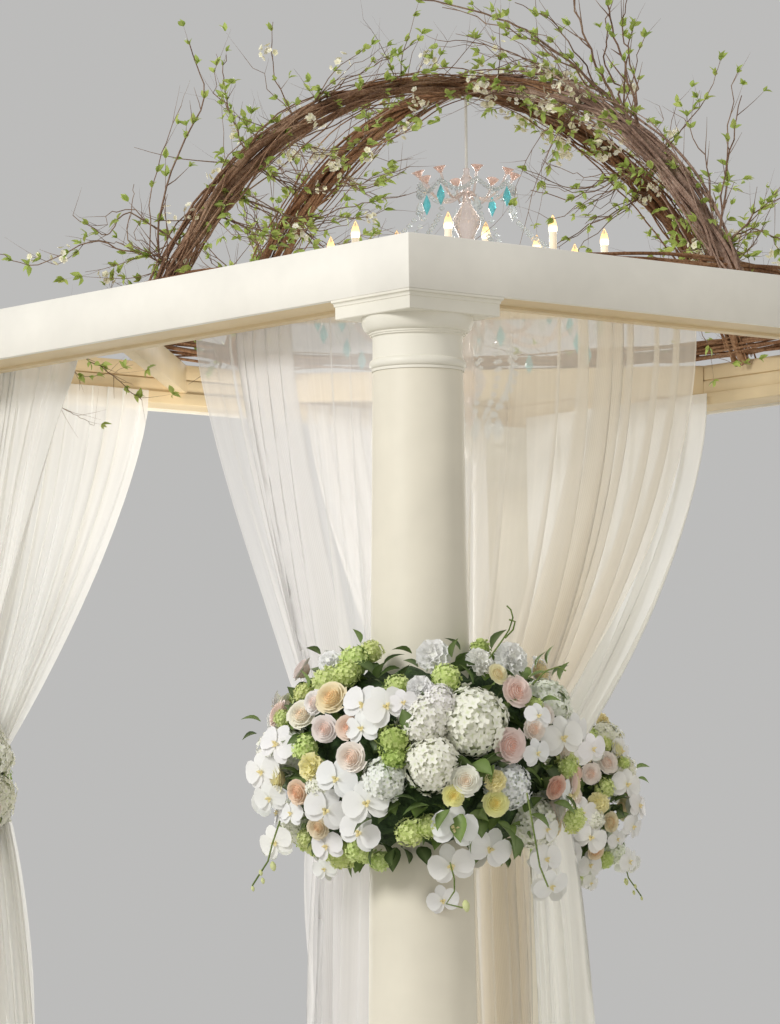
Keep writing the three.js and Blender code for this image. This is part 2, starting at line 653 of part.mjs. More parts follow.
function curtainRow(edge, height) {
  if (height >= WAIST_HEIGHT) {
    const drop = Math.max(0, (HEAD_BOTTOM - height) / (HEAD_BOTTOM - WAIST_HEIGHT));
    return {
      near: CURTAIN_START + (WAIST_NEAR - CURTAIN_START) * drop,
      far: edge.reach + (edge.waist - edge.reach) * drop ** edge.curve,
      thickness: HEAD_THICKNESS + (WAIST_THICKNESS - HEAD_THICKNESS) * drop,
      offset: WAIST_OFFSET * drop,
    };
  }
  const fall = (WAIST_HEIGHT - height) / (WAIST_HEIGHT - CURTAIN_HEM);
  return {
    near: WAIST_NEAR + (HEM_NEAR - WAIST_NEAR) * fall,
    far: edge.waist + (edge.hem - edge.waist) * fall ** FLARE_CURVE,
    thickness: WAIST_THICKNESS + (HEM_THICKNESS - WAIST_THICKNESS) * fall,
    offset: WAIST_OFFSET,
  };
}

// The rows are even below the waist and above it, with a last one for the head
function curtainRowHeight(step) {
  if (step <= CURTAIN_ROWS_BELOW) {
    return CURTAIN_HEM + (WAIST_HEIGHT - CURTAIN_HEM) * (step / CURTAIN_ROWS_BELOW);
  }
  const share = (step - CURTAIN_ROWS_BELOW) / CURTAIN_ROWS_ABOVE;
  return share > 1 ? CURTAIN_TOP : WAIST_HEIGHT + (HEAD_BOTTOM - WAIST_HEIGHT) * share;
}

// A curtain for the back side at its +X column, as rounded rows from the hem to the head
function curtainSolid(edge, grow = 0) {
  const rows = CURTAIN_ROWS_BELOW + CURTAIN_ROWS_ABOVE + 1;
  const geometry = new THREE.CylinderGeometry(1, 1, 1, CURTAIN_SIDES, rows);
  geometry.rotateX(Math.PI / 2);
  const position = geometry.attributes.position;
  for (let i = 0; i < position.count; i += 1) {
    const height = curtainRowHeight(Math.round((position.getZ(i) + 0.5) * rows));
    const row = curtainRow(edge, height);
    const centre = COLUMN_AXIS - (row.near + row.far) / 2;
    const half = (row.far - row.near) / 2 + grow;
    const out = BEAM_INNER - FIT_GAP - HEAD_THICKNESS / 2 + row.offset;
    const x = position.getX(i);
    const y = position.getY(i);
    const square = Math.max(Math.abs(x), Math.abs(y)) || 1;
    const roundness = 0.45;
    const stretch = roundness + (1 - roundness) / square;
    position.setXYZ(i, centre + x * stretch * half, out + y * stretch * (row.thickness / 2 + grow), height);
  }
  return geometry;
}

// Places a curtain that was made for the back side's +X end
function placeCurtain(geometry, side, end) {
  const [outX, outY] = SIDES[side];
  const [endX, endY] = SIDES[end];
  const place = new THREE.Matrix4().set(
    endX, outX, 0, 0,
    endY, outY, 0, 0,
    0, 0, 1, 0,
    0, 0, 0, 1);
  const placed = geometry.clone().applyMatrix4(place);
  if (place.determinant() < 0) {
    const index = placed.index;
    for (let i = 0; i < index.count; i += 3) {
      const first = index.getX(i);
      index.setX(i, index.getX(i + 1));
      index.setX(i + 1, first);
    }
  }
  return placed;
}

function addCurtains() {
  for (const { side, end, edge } of CURTAINS) {
    addPiece(`${side}_${end}_curtain`, placeCurtain(curtainSolid(edge), side, end), SHEER);
  }
}

// Flower collars: a thick garland round each column that hides where the curtains are tied.
// Its inner side, behind the column, is flatter.

function garland(outX, outY) {
  const profile = [];
  for (let i = 0; i <= COLLAR_ROWS; i += 1) {
    const angle = -Math.PI / 2 + (i / COLLAR_ROWS) * Math.PI;
    const radius = COLLAR_RADIUS * Math.max(0, Math.cos(angle)) ** 0.6;
    const end = i === 0 || i === COLLAR_ROWS;
    profile.push([end ? 0 : radius, COLLAR_HEIGHT + COLLAR_HALF_HEIGHT * Math.sin(angle)]);
  }
  const geometry = turned(profile, COLLAR_SIDES);
  const position = geometry.attributes.position;
  for (let i = 0; i < position.count; i += 1) {
    const x = position.getX(i);
    const y = position.getY(i);
    const inward = Math.min(0, (x * outX + y * outY) / 2) * (1 - COLLAR_INNER_SHARE);
    position.setXY(i, x - outX * inward, y - outY * inward);
  }
  return toSolid(geometry);
}

function addCollars() {
  const shaft = toSolid(columnShaft(FIT_GAP));
  for (const corner of CORNERS) {
    const x = SIDES[corner[0]][0] + SIDES[corner[1]][0];
    const y = SIDES[corner[0]][1] + SIDES[corner[1]][1];
    const spot = [x * COLUMN_AXIS, y * COLUMN_AXIS, 0];
    let collar = garland(x, y).subtract(shaft).translate(spot);
    for (const { side, end, edge } of CURTAINS) {
      if (corner.includes(side) && corner.includes(end)) {
        collar = collar.subtract(toSolid(placeCurtain(curtainSolid(edge, 2 * FIT_GAP), side, end)));
      }
    }
    addPiece(`${corner.join("_")}_flower_collar`, toGeometry(collar), BLOOM);
  }
}

addColumns();
addFrame();
addVines();
addChandelier();
addCurtains();
addCollars();

export default canopy;
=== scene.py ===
# Looks of the chuppah canopy: painted columns and boards, sheer curtains, flower collars,
# a dome of vines with shoots and blossom, and a crystal chandelier with lit candles.
# Metres, +Z up, -Y to the front, the origin on the ground at the centre of the plan.
import math
import random

import bmesh
import bpy
import numpy as np
from mathutils import Matrix, Vector, noise


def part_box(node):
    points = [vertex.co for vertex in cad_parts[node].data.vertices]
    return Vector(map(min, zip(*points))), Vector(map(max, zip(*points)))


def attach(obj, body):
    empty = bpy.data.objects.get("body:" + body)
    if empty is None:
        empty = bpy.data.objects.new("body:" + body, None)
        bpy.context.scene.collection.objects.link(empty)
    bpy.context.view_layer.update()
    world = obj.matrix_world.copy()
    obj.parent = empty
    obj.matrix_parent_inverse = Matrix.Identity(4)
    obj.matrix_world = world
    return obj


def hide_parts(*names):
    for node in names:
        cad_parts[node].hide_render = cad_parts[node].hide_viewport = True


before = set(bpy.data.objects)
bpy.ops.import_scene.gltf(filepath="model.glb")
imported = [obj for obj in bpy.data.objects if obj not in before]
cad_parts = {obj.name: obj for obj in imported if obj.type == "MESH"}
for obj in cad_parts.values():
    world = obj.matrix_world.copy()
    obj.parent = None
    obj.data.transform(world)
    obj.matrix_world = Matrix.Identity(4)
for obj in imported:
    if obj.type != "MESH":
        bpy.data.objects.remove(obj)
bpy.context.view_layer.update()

# Places taken from the frame
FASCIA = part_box("front_fascia")
UNDERSIDE = FASCIA[0].z
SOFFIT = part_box("back_soffit")
BEAM_INNER = SOFFIT[0].y
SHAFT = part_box("front_right_column_shaft")
AXIS = (SHAFT[0].x + SHAFT[1].x) / 2
SHAFT_BOTTOM = SHAFT[0].z
SHAFT_TOP = SHAFT[1].z
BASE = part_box("front_right_column_base")
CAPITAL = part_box("front_right_column_capital")
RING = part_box("vine_ring")
RING_HEIGHT = (RING[0].z + RING[1].z) / 2
RING_HALF = (RING[1].z - RING[0].z) / 2
RING_RADIUS = RING[1].x - RING_HALF
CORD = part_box("chandelier_cord")
DOME_APEX = CORD[1].z
CROWN_TOP = CORD[0].z
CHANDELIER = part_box("chandelier_frame")
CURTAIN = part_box("back_right_curtain")
CURTAIN_TOP = CURTAIN[1].z
CURTAIN_HEM = CURTAIN[0].z

# Edges that turn by more degrees than this are shaded as creases
CREASE = 35
NO_CREASE = 180
# Points nearer than this are one point
WELD = 1e-5
WHITE = (1, 1, 1)

SIDES = {
    "front": Vector((0, -1, 0)),
    "right": Vector((1, 0, 0)),
    "back": Vector((0, 1, 0)),
    "left": Vector((-1, 0, 0)),
}
CORNERS = [("front", "right"), ("front", "left"), ("back", "right"), ("back", "left")]


# Corners, directions and noise

def corner_place(corner):
    """The column's axis on the ground at a corner."""
    return (SIDES[corner[0]] + SIDES[corner[1]]) * AXIS


def corner_name(corner):
    return "_".join(corner)


def upward(height):
    return Vector((0, 0, height))


def level(angle):
    """The level direction at an angle about the Z axis."""
    return Vector((math.cos(angle), math.sin(angle), 0))


def smooth(x):
    """Eases from 0 to 1."""
    x = min(1.0, max(0.0, x))
    return x * x * (3 - 2 * x)


def wander(x, y, z):
    """Smooth noise from -1 to 1."""
    return noise.noise(Vector((x, y, z)))


def wandering(along, seed):
    """A smooth random shift at a distance along a stem."""
    return Vector([wander(along, seed, layer) for layer in (0, 5, 9)])


def strewn(rng, low, high):
    """A random direction that leans up or down between two limits."""
    return Vector((rng.uniform(-1, 1), rng.uniform(-1, 1), rng.uniform(low, high)))


def jitter(rng, sideways, upwards):
    """A small random shift, mostly within these two amounts."""
    return Vector((rng.gauss(0, sideways), rng.gauss(0, sideways), rng.gauss(0, upwards)))


# Mesh helpers

def add_piece(name, mesh, finishes, replaces=(), sharp=CREASE):
    """Makes a finished piece from a mesh, with its materials, on the canopy's one body."""
    for finish in finishes:
        mesh.materials.append(finish)
    mesh.shade_smooth()
    mesh.set_sharp_from_angle(angle=math.radians(sharp))
    piece = bpy.data.objects.new(name, mesh)
    bpy.context.scene.collection.objects.link(piece)
    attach(piece, "root")
    if replaces:
        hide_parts(*replaces)
    return piece


def add_copies(name, pattern, places, finishes, sharp=NO_CREASE):
    """A piece made of many copies of a small mesh."""
    return add_piece(name, scattered(name, pattern, places), finishes, sharp=sharp)


def add_tubes(name, paths, rounding, finish, replaces=(), sharp=CREASE):
    """A piece made of round stems."""
    return add_piece(name, tubes(name, paths, rounding), [finish], replaces, sharp)


def shaded_mesh():
    """An empty shape and the value by which its petals or leaves deepen in colour."""
    bm = bmesh.new()
    return bm, bm.verts.layers.float.new("shade")


def merge(bm, other):
    """Adds another shape to bm."""
    mesh = mesh_from(other, "merged")
    bm.from_mesh(mesh)
    bpy.data.meshes.remove(mesh)


def mesh_from(bm, name):
    mesh = bpy.data.meshes.new(name)
    bm.to_mesh(mesh)
    bm.free()
    return mesh


def turned(profile, steps):
    """A round turning about the Z axis, from (radius, height) pairs that end on the axis."""
    bm = bmesh.new()
    verts = [bm.verts.new((radius, 0, height)) for radius, height in profile]
    edges = [bm.edges.new(pair) for pair in zip(verts, verts[1:])]
    bmesh.ops.spin(bm, geom=verts + edges, cent=(0, 0, 0), axis=(0, 0, 1), dvec=(0, 0, 0),
                   angle=2 * math.pi, steps=steps, use_merge=True)
    bmesh.ops.remove_doubles(bm, verts=bm.verts, dist=WELD)
    bmesh.ops.recalc_face_normals(bm, faces=bm.faces)
    return bm


def arc(centre, radius, start, end, steps):
    """Points of an arc in degrees, as (radius, height) pairs. radius may be a pair."""
    wide, tall = radius if isinstance(radius, tuple) else (radius, radius)
    points = []
    for i in range(steps + 1):
        angle = math.radians(start + (end - start) * i / steps)
        points.append((centre[0] + wide * math.cos(angle), centre[1] + tall * math.sin(angle)))
    return points


def softened(node, width):
    """A bevelled copy of a CAD board, which stands for it."""
    bm = bmesh.new()
    bm.from_mesh(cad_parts[node].data)
    bmesh.ops.remove_doubles(bm, verts=bm.verts, dist=WELD)
    bmesh.ops.dissolve_limit(bm, angle_limit=math.radians(1), verts=bm.verts, edges=bm.edges)
    sharp = [e for e in bm.edges if e.calc_face_angle(0) > math.radians(20)]
    bmesh.ops.bevel(bm, geom=sharp, offset=width, segments=2, profile=0.5, material=-1,
                    affect="EDGES", clamp_overlap=True)
    return bm


def tubes(name, paths, rounding):
    """One mesh of round stems. Each path is a list of (point, radius) pairs. A stem has four
    sides, and two more for each step of rounding."""
    curve = bpy.data.curves.new(name, "CURVE")
    curve.dimensions = "3D"
    curve.bevel_depth = 1
    curve.bevel_resolution = rounding
    curve.use_fill_caps = True
    for path in paths:
        spline = curve.splines.new("POLY")
        spline.points.add(len(path) - 1)
        for spot, (point, radius) in zip(spline.points, path):
            spot.co = (*point, 1)
            spot.radius = radius
    holder = bpy.data.objects.new(name, curve)
    bpy.context.scene.collection.objects.link(holder)
    bpy.context.view_layer.update()
    mesh = bpy.data.meshes.new_from_object(
        holder.evaluated_get(bpy.context.evaluated_depsgraph_get()))
    bpy.data.objects.remove(holder)
    bpy.data.curves.remove(curve)
    mesh.materials.clear()
    return mesh


def scattered(name, template, places):
    """Copies of a small mesh joined into one. places are (matrix, tint) pairs, and the tint
    goes into a colour attribute. The template's "shade" and face materials are kept."""
    count = len(template.vertices)
    co = np.empty(count * 3, np.float32)
    template.vertices.foreach_get("co", co)
    co = co.reshape(-1, 3)
    faces = len(template.polygons)
    starts = np.empty(faces, np.int32)
    totals = np.empty(faces, np.int32)
    slots = np.empty(faces, np.int32)
    loops = np.empty(len(template.loops), np.int32)
    template.polygons.foreach_get("loop_start", starts)
    template.polygons.foreach_get("loop_total", totals)
    template.polygons.foreach_get("material_index", slots)
    template.loops.foreach_get("vertex_index", loops)
    shade = np.zeros(count, np.float32)
    if "shade" in template.attributes:
        template.attributes["shade"].data.foreach_get("value", shade)
    matrices = np.array([np.array(m, np.float32) for m, _ in places])
    points = np.einsum("nij,vj->nvi", matrices[:, :3, :3], co) + matrices[:, None, :3, 3]
    copies = len(places)
    mesh = bpy.data.meshes.new(name)
    mesh.vertices.add(count * copies)
    mesh.vertices.foreach_set("co", points.astype(np.float32).ravel())
    mesh.loops.add(len(loops) * copies)
    steps = np.arange(copies, dtype=np.int32)
    mesh.loops.foreach_set("vertex_index", (loops[None] + steps[:, None] * count).ravel())
    mesh.polygons.add(faces * copies)
    mesh.polygons.foreach_set("loop_start", (starts[None] + steps[:, None] * len(loops)).ravel())
    mesh.polygons.foreach_set("material_index", np.tile(slots, copies))
    mesh.update(calc_edges=True)
    kept = mesh.attributes.new("shade", "FLOAT", "POINT")
    kept.data.foreach_set("value", np.tile(shade, copies))
    tints = np.array([(*tint, 1) for _, tint in places], np.float32)
    colour = mesh.attributes.new("tint", "FLOAT_COLOR", "POINT")
    colour.data.foreach_set("color", np.repeat(tints, count, axis=0).ravel())
    mesh.validate()
    return mesh


def joined(name, meshes):
    """Several meshes as one, with their attributes kept."""
    bm = bmesh.new()
    for mesh in meshes:
        bm.from_mesh(mesh)
    return mesh_from(bm, name)


def place(point, normal, size, spin=0.0):
    """Where a copy goes: its foot, the way that it faces, its size and its turn about that."""
    z = Vector(normal).normalized()
    x = upward(1).cross(z)
    if x.length < 1e-4:
        x = Vector((1, 0, 0))
    x.normalize()
    turn = Matrix((x, z.cross(x), z)).transposed().to_4x4() @ Matrix.Rotation(spin, 4, "Z")
    return Matrix.Translation(point) @ turn @ Matrix.Scale(size, 4)


def pointing(point, away, size, roll):
    """Where a leaf goes: its foot, the way that its tip points, its length and its roll."""
    turn = away.to_track_quat("Y", "Z").to_matrix().to_4x4() @ Matrix.Rotation(roll, 4, "Y")
    return Matrix.Translation(point) @ turn @ Matrix.Scale(size, 4)


# Materials

def start(name):
    material = bpy.data.materials.new(name)
    material.use_nodes = True
    material.node_tree.nodes.clear()
    return material, material.node_tree


def finished(material, surface):
    """Ends a material in its surface shader."""
    add(material.node_tree, "OutputMaterial", Surface=surface)
    return material


def add(tree, kind, settings=None, **inputs):
    """A node with its settings and inputs. An input given as a socket is linked, and one
    named _1, _2 and so on is found by its number."""
    node = tree.nodes.new("ShaderNode" + kind)
    for key, value in (settings or {}).items():
        setattr(node, key, value)
    for key, value in inputs.items():
        socket = node.inputs[int(key[1:])] if key[0] == "_" else node.inputs[key.replace("_", " ")]
        if isinstance(value, bpy.types.NodeSocket):
            tree.links.new(value, socket)
        else:
            socket.default_value = value
    return node


def shader(tree, kind, **inputs):
    return add(tree, kind, **inputs).outputs[0]


def blended(tree, share, first, second):
    """Two shaders as one. The share is the second's."""
    return shader(tree, "MixShader", Fac=share, _1=first, _2=second)


def thin_skin(tree, colour, glow, rough, normal, shine):
    """The surface of a petal or leaf, with a share of light that glows through it."""
    front = shader(tree, "BsdfPrincipled", Base_Color=colour, Roughness=rough, Normal=normal,
                   Specular_IOR_Level=shine)
    return blended(tree, glow, front, shader(tree, "BsdfTranslucent", Color=colour))


def rgb(red, green, blue):
    return (red, green, blue, 1)


def darker(colour, share):
    return tuple(c * share for c in colour[:3]) + (1,)


def ramp(tree, factor, stops):
    """A colour that follows a value, from (value, colour) pairs."""
    node = add(tree, "ValToRGB", Fac=factor)
    elements = node.color_ramp.elements
    while len(elements) < len(stops):
        elements.new(0.5)
    for element, (at, colour) in zip(elements, stops):
        element.position = at
        element.color = colour
    return node.outputs["Color"]


def attribute(tree, name, socket="Fac"):
    """A value or colour that the mesh carries."""
    return add(tree, "Attribute", {"attribute_name": name}).outputs[socket]


def object_coords(tree, scale=(1, 1, 1)):
    coords = add(tree, "TexCoord").outputs["Object"]
    return add(tree, "Mapping", Vector=coords, Scale=scale).outputs["Vector"]


def noise_at(tree, vector, scale, detail, roughness):
    node = add(tree, "TexNoise", Vector=vector, Scale=scale, Detail=detail, Roughness=roughness)
    return node.outputs["Fac"]


def mix(tree, factor, first, second, blend="MIX"):
    node = add(tree, "Mix", {"data_type": "RGBA", "blend_type": blend}, _0=factor, _6=first, _7=second)
    return node.outputs[2]


def multiplied(tree, first, second):
    return mix(tree, 1.0, first, second, "MULTIPLY")


def worked_out(tree, operation, *values):
    """The result of a sum on values or sockets."""
    inputs = {f"_{number}": value for number, value in enumerate(values)}
    return add(tree, "Math", {"operation": operation}, **inputs).outputs[0]


def scaled(tree, value, low, high):
    """A value from 0 to 1 stretched to run from low to high."""
    return add(tree, "MapRange", Value=value, To_Min=low, To_Max=high).outputs["Result"]


def between(tree, value, low, high):
    """A value's place between low and high, from 0 to 1."""
    return add(tree, "MapRange", Value=value, From_Min=low, From_Max=high).outputs["Result"]


def bumped(tree, height, strength, depth):
    """A surface raised by a pattern, by up to a depth in metres."""
    return add(tree, "Bump", Strength=strength, Distance=depth, Height=height).outputs["Normal"]


def cream_paint(name, colour, streaks=(1, 1, 1), shade=0.86):
    """Brushed satin paint over wood, a little uneven and dusty."""
    material, tree = start(name)
    coords = object_coords(tree)
    broad = noise_at(tree, coords, 2.2, 4, 0.6)
    brushed = noise_at(tree, object_coords(tree, streaks), 90, 3, 0.6)
    dust = noise_at(tree, coords, 14, 5, 0.7)
    dark = darker(colour, shade)
    base = ramp(tree, broad, [(0.3, dark), (0.62, colour)])
    base = mix(tree, scaled(tree, dust, 0, 0.22), base, dark)
    return finished(material, shader(
        tree, "BsdfPrincipled", Base_Color=base, Roughness=scaled(tree, brushed, 0.36, 0.56),
        Normal=bumped(tree, brushed, 0.10, 0.002), Specular_IOR_Level=0.4))


def sheer_cloth(name, colour, glow, density):
    """Sheer voile: part of the light goes straight through, part glows through, and the
    hems are denser."""
    material, tree = start(name)
    uv = add(tree, "UVMap", {"uv_map": "cloth"}).outputs["UV"]
    lengthways = add(tree, "Mapping", Vector=uv, Scale=(26, 0.9, 1)).outputs["Vector"]
    streaks = noise_at(tree, lengthways, 1, 3, 0.55)
    weave = add(tree, "TexWave", {"bands_direction": "X"}, Vector=uv, Scale=160, Distortion=0.6,
                Detail=1).outputs["Fac"]
    shown = scaled(tree, streaks, density - 0.10, density + 0.10)
    shown = worked_out(tree, "MULTIPLY_ADD", weave, 0.05, shown)
    shown = worked_out(tree, "MAXIMUM", shown, attribute(tree, "hem"))
    tone = ramp(tree, streaks, [(0.25, darker(colour, 0.95)), (0.7, colour)])
    normal = bumped(tree, streaks, 0.05, 0.001)
    front = shader(tree, "BsdfPrincipled", Base_Color=tone, Roughness=0.75, Normal=normal,
                   Sheen_Weight=0.3, Sheen_Roughness=0.4, Specular_IOR_Level=0.2)
    through = shader(tree, "BsdfTranslucent", Color=glow, Normal=normal)
    cloth = blended(tree, 0.45, front, through)
    open_weave = shader(tree, "BsdfTransparent", Color=rgb(*WHITE))
    return finished(material, blended(tree, shown, open_weave, cloth))


def bark(name, dark, mid, pale):
    """Vine bark with darker cracks and paler worn ridges."""
    material, tree = start(name)
    coords = object_coords(tree)
    broad = noise_at(tree, coords, 7, 4, 0.6)
    fine = noise_at(tree, coords, 120, 5, 0.7)
    cracks = worked_out(tree, "MULTIPLY_ADD", fine, 0.55, scaled(tree, broad, 0, 0.55))
    base = ramp(tree, cracks, [(0.34, dark), (0.52, mid), (0.72, pale)])
    return finished(material, shader(tree, "BsdfPrincipled", Base_Color=base, Roughness=0.82,
                                     Normal=bumped(tree, fine, 0.6, 0.004), Specular_IOR_Level=0.25))


def petal_finish(name, foot, deepening, glow):
    """A petal in its bloom's own tint, which deepens towards its foot."""
    material, tree = start(name)
    tint = attribute(tree, "tint", "Color")
    veins = noise_at(tree, object_coords(tree), 160, 3, 0.6)
    richer = mix(tree, deepening, tint, multiplied(tree, tint, tint))
    along = between(tree, attribute(tree, "shade"), 0.0, 0.6)
    colour = mix(tree, along, multiplied(tree, richer, foot), tint)
    aged = multiplied(tree, colour, rgb(0.94, 0.94, 0.88))
    colour = mix(tree, scaled(tree, veins, 0.0, 0.18), colour, aged)
    normal = bumped(tree, veins, 0.12, 0.0008)
    return finished(material, thin_skin(tree, colour, glow, 0.55, normal, 0.3))


def leaf_finish(name, rib, rough, glow):
    """A leaf in its own green, paler along the rib and uneven in tone."""
    material, tree = start(name)
    tint = attribute(tree, "tint", "Color")
    mottle = noise_at(tree, object_coords(tree), 45, 4, 0.6)
    dull = multiplied(tree, tint, rgb(0.5, 0.55, 0.45))
    colour = mix(tree, scaled(tree, mottle, 0, 0.5), tint, dull)
    colour = mix(tree, attribute(tree, "shade"), colour, rib)
    normal = bumped(tree, mottle, 0.15, 0.001)
    return finished(material, thin_skin(tree, colour, glow, rough, normal, 0.45))


def packed_moss(name):
    """The dark packed leaves and moss under the blooms."""
    material, tree = start(name)
    clumps = noise_at(tree, object_coords(tree), 40, 5, 0.7)
    base = ramp(tree, clumps, [(0.35, rgb(0.012, 0.03, 0.01)), (0.6, rgb(0.05, 0.1, 0.025)),
                               (0.8, rgb(0.12, 0.18, 0.05))])
    return finished(material, shader(tree, "BsdfPrincipled", Base_Color=base, Roughness=0.85,
                                     Normal=bumped(tree, clumps, 1.0, 0.01)))


def cut_crystal(name, tint, clear, shine):
    """Cut glass: bright where it turns away, and clear where it faces."""
    material, tree = start(name)
    edge = add(tree, "LayerWeight", Blend=0.35).outputs["Fresnel"]
    cuts = noise_at(tree, object_coords(tree), 60, 2, 0.5)
    gloss = shader(tree, "BsdfGlossy", Color=rgb(*WHITE), Roughness=0.04)
    body = shader(tree, "BsdfTranslucent", Color=tint)
    see = shader(tree, "BsdfTransparent", Color=tint)
    inner = blended(tree, scaled(tree, cuts, 0.1, 1.2 - clear), see, body)
    return finished(material, blended(tree, scaled(tree, edge, 0.06, shine), inner, gloss))


def candle_wax(name):
    """A warm wax sleeve with a painted glow, as if lit a little from within."""
    material, tree = start(name)
    mottle = noise_at(tree, object_coords(tree), 35, 3, 0.5)
    base = ramp(tree, mottle, [(0.3, rgb(0.85, 0.76, 0.6)), (0.7, rgb(0.95, 0.9, 0.78))])
    return finished(material, shader(tree, "BsdfPrincipled", Base_Color=base, Roughness=0.4,
                                     Emission_Color=rgb(1, 0.78, 0.5), Emission_Strength=0.35))


def flame_glow(name):
    """A flame bulb: it glows in its lower half, and its tip is clear glass."""
    material, tree = start(name)
    shade = attribute(tree, "shade")
    colour = ramp(tree, shade, [(0.0, rgb(1.0, 0.5, 0.16)), (0.2, rgb(1.0, 0.86, 0.6)),
                                (0.5, rgb(1.0, 0.56, 0.2))])
    lit = shader(tree, "Emission", Color=colour, Strength=3.2)
    edge = add(tree, "LayerWeight", Blend=0.4).outputs["Fresnel"]
    see = shader(tree, "BsdfTransparent", Color=rgb(1, 0.93, 0.82))
    shine = shader(tree, "BsdfGlossy", Color=rgb(1, 0.95, 0.88), Roughness=0.05)
    glass = blended(tree, scaled(tree, edge, 0.08, 0.9), see, shine)
    return finished(material, blended(tree, between(tree, shade, 0.42, 0.75), lit, glass))


def spun_cord(name):
    """White cord with slanting strands."""
    material, tree = start(name)
    strands = add(tree, "TexWave", {"bands_direction": "DIAGONAL"}, Vector=object_coords(tree), Scale=90,
                  Distortion=0.5).outputs["Fac"]
    base = ramp(tree, strands, [(0.2, rgb(0.75, 0.73, 0.68)), (0.6, rgb(0.93, 0.92, 0.88))])
    return finished(material, shader(tree, "BsdfPrincipled", Base_Color=base, Roughness=0.7,
                                     Normal=bumped(tree, strands, 0.4, 0.001)))


def pale_floor(name):
    material, tree = start(name)
    grain = noise_at(tree, object_coords(tree), 3, 3, 0.5)
    base = ramp(tree, grain, [(0.3, rgb(0.62, 0.60, 0.56)), (0.7, rgb(0.66, 0.64, 0.60))])
    return finished(material, shader(tree, "BsdfPrincipled", Base_Color=base, Roughness=0.8))


# Paints, voiles, barks, petals, leaves, glass, wax and cord
# The shaft and base cream is darker and yellower than the capital's and the boards': the same paint with
# painted shade
SHADED_COLUMN_PAINT = cream_paint("column_paint", rgb(0.86, 0.81, 0.68), streaks=(1, 1, 0.12))
CAPITAL_PAINT = cream_paint("capital_paint", rgb(0.89, 0.86, 0.755))
BOARD_PAINT = cream_paint("board_paint", rgb(0.92, 0.895, 0.82))
INNER_PAINT = cream_paint("inner_board_paint", rgb(0.83, 0.67, 0.42), shade=0.8)
# One voile in four copies: the cream one is painted shade, and the bright and sunlit ones are painted
# light, denser and paler than the white one
SHEER_WHITE = sheer_cloth("sheer_white", rgb(0.96, 0.955, 0.955), rgb(0.98, 0.965, 0.95), density=0.60)
SHEER_SHADED_CREAM = sheer_cloth("sheer_cream", rgb(0.95, 0.91, 0.83), rgb(0.97, 0.92, 0.82), density=0.54)
SHEER_LIT_BRIGHT = sheer_cloth("sheer_bright_lit", rgb(0.97, 0.97, 0.95), rgb(0.99, 0.98, 0.95), density=0.76)
SHEER_SUNLIT = sheer_cloth("sheer_sunlit", rgb(0.99, 0.99, 0.96), rgb(1.0, 0.99, 0.95), density=0.92)
VOILES = {"cool": SHEER_WHITE, "warm": SHEER_SHADED_CREAM, "white": SHEER_LIT_BRIGHT, "sunlit": SHEER_SUNLIT}
MAUVE_BARK = bark("mauve_bark", rgb(0.07, 0.040, 0.028), rgb(0.27, 0.17, 0.125), rgb(0.54, 0.40, 0.315))
RUST_BARK = bark("rust_bark", rgb(0.066, 0.034, 0.021), rgb(0.25, 0.138, 0.082), rgb(0.52, 0.355, 0.24))
RED_BARK = bark("red_bark", rgb(0.06, 0.025, 0.012), rgb(0.23, 0.112, 0.055), rgb(0.46, 0.28, 0.16))
TWIG_BARK = bark("twig_bark", rgb(0.06, 0.030, 0.020), rgb(0.20, 0.12, 0.08), rgb(0.38, 0.28, 0.20))
LEG_BARKS = {"front": RUST_BARK, "right": MAUVE_BARK, "back": RED_BARK, "left": RED_BARK}
PETAL = petal_finish("petal", rgb(0.97, 0.98, 0.90), deepening=0.2, glow=0.18)
FLORET = petal_finish("floret", rgb(0.80, 0.88, 0.60), deepening=0.3, glow=0.14)
ROSE_PETAL = petal_finish("rose_petal", rgb(1.0, 0.78, 0.68), deepening=0.90, glow=0.16)
ORCHID_LIP = petal_finish("orchid_lip", rgb(1.0, 0.86, 0.42), deepening=0.0, glow=0.3)
LEAF = leaf_finish("leaf", rgb(0.35, 0.45, 0.2), rough=0.42, glow=0.2)
YOUNG_LEAF = leaf_finish("young_leaf", rgb(0.5, 0.6, 0.2), rough=0.5, glow=0.4)
STEM = bark("flower_stem", rgb(0.06, 0.09, 0.02), rgb(0.14, 0.20, 0.05), rgb(0.25, 0.3, 0.1))
MOSS = packed_moss("packed_moss")
CLEAR_CRYSTAL = cut_crystal("clear_crystal", rgb(0.94, 0.97, 0.98), clear=0.6, shine=0.75)
BLUE_CRYSTAL = cut_crystal("turquoise_crystal", rgb(0.40, 0.83, 0.87), clear=0.6, shine=0.6)
PINK_GLASS = cut_crystal("blush_glass", rgb(0.99, 0.92, 0.89), clear=0.95, shine=0.7)
PINK_CUP = cut_crystal("blush_cup", rgb(0.99, 0.84, 0.78), clear=0.6, shine=0.5)
WAX_WITH_PAINTED_GLOW = candle_wax("candle_sleeve")
FLAME = flame_glow("flame_bulb")
WHITE_CORD = spun_cord("white_cord")


# Columns

ROUND_STEPS = 72
SHAFT_STEPS = 36
PLINTH_HEIGHT = 0.062
TORUS_HEIGHT = 0.056
FILLET_RADIUS = 0.158
FOOT_RADIUS = 0.152
FOOT_HEIGHT = 0.08
SHAFT_RADIUS = 0.143
NECK_RADIUS = 0.1155
TAPER_START = 0.7


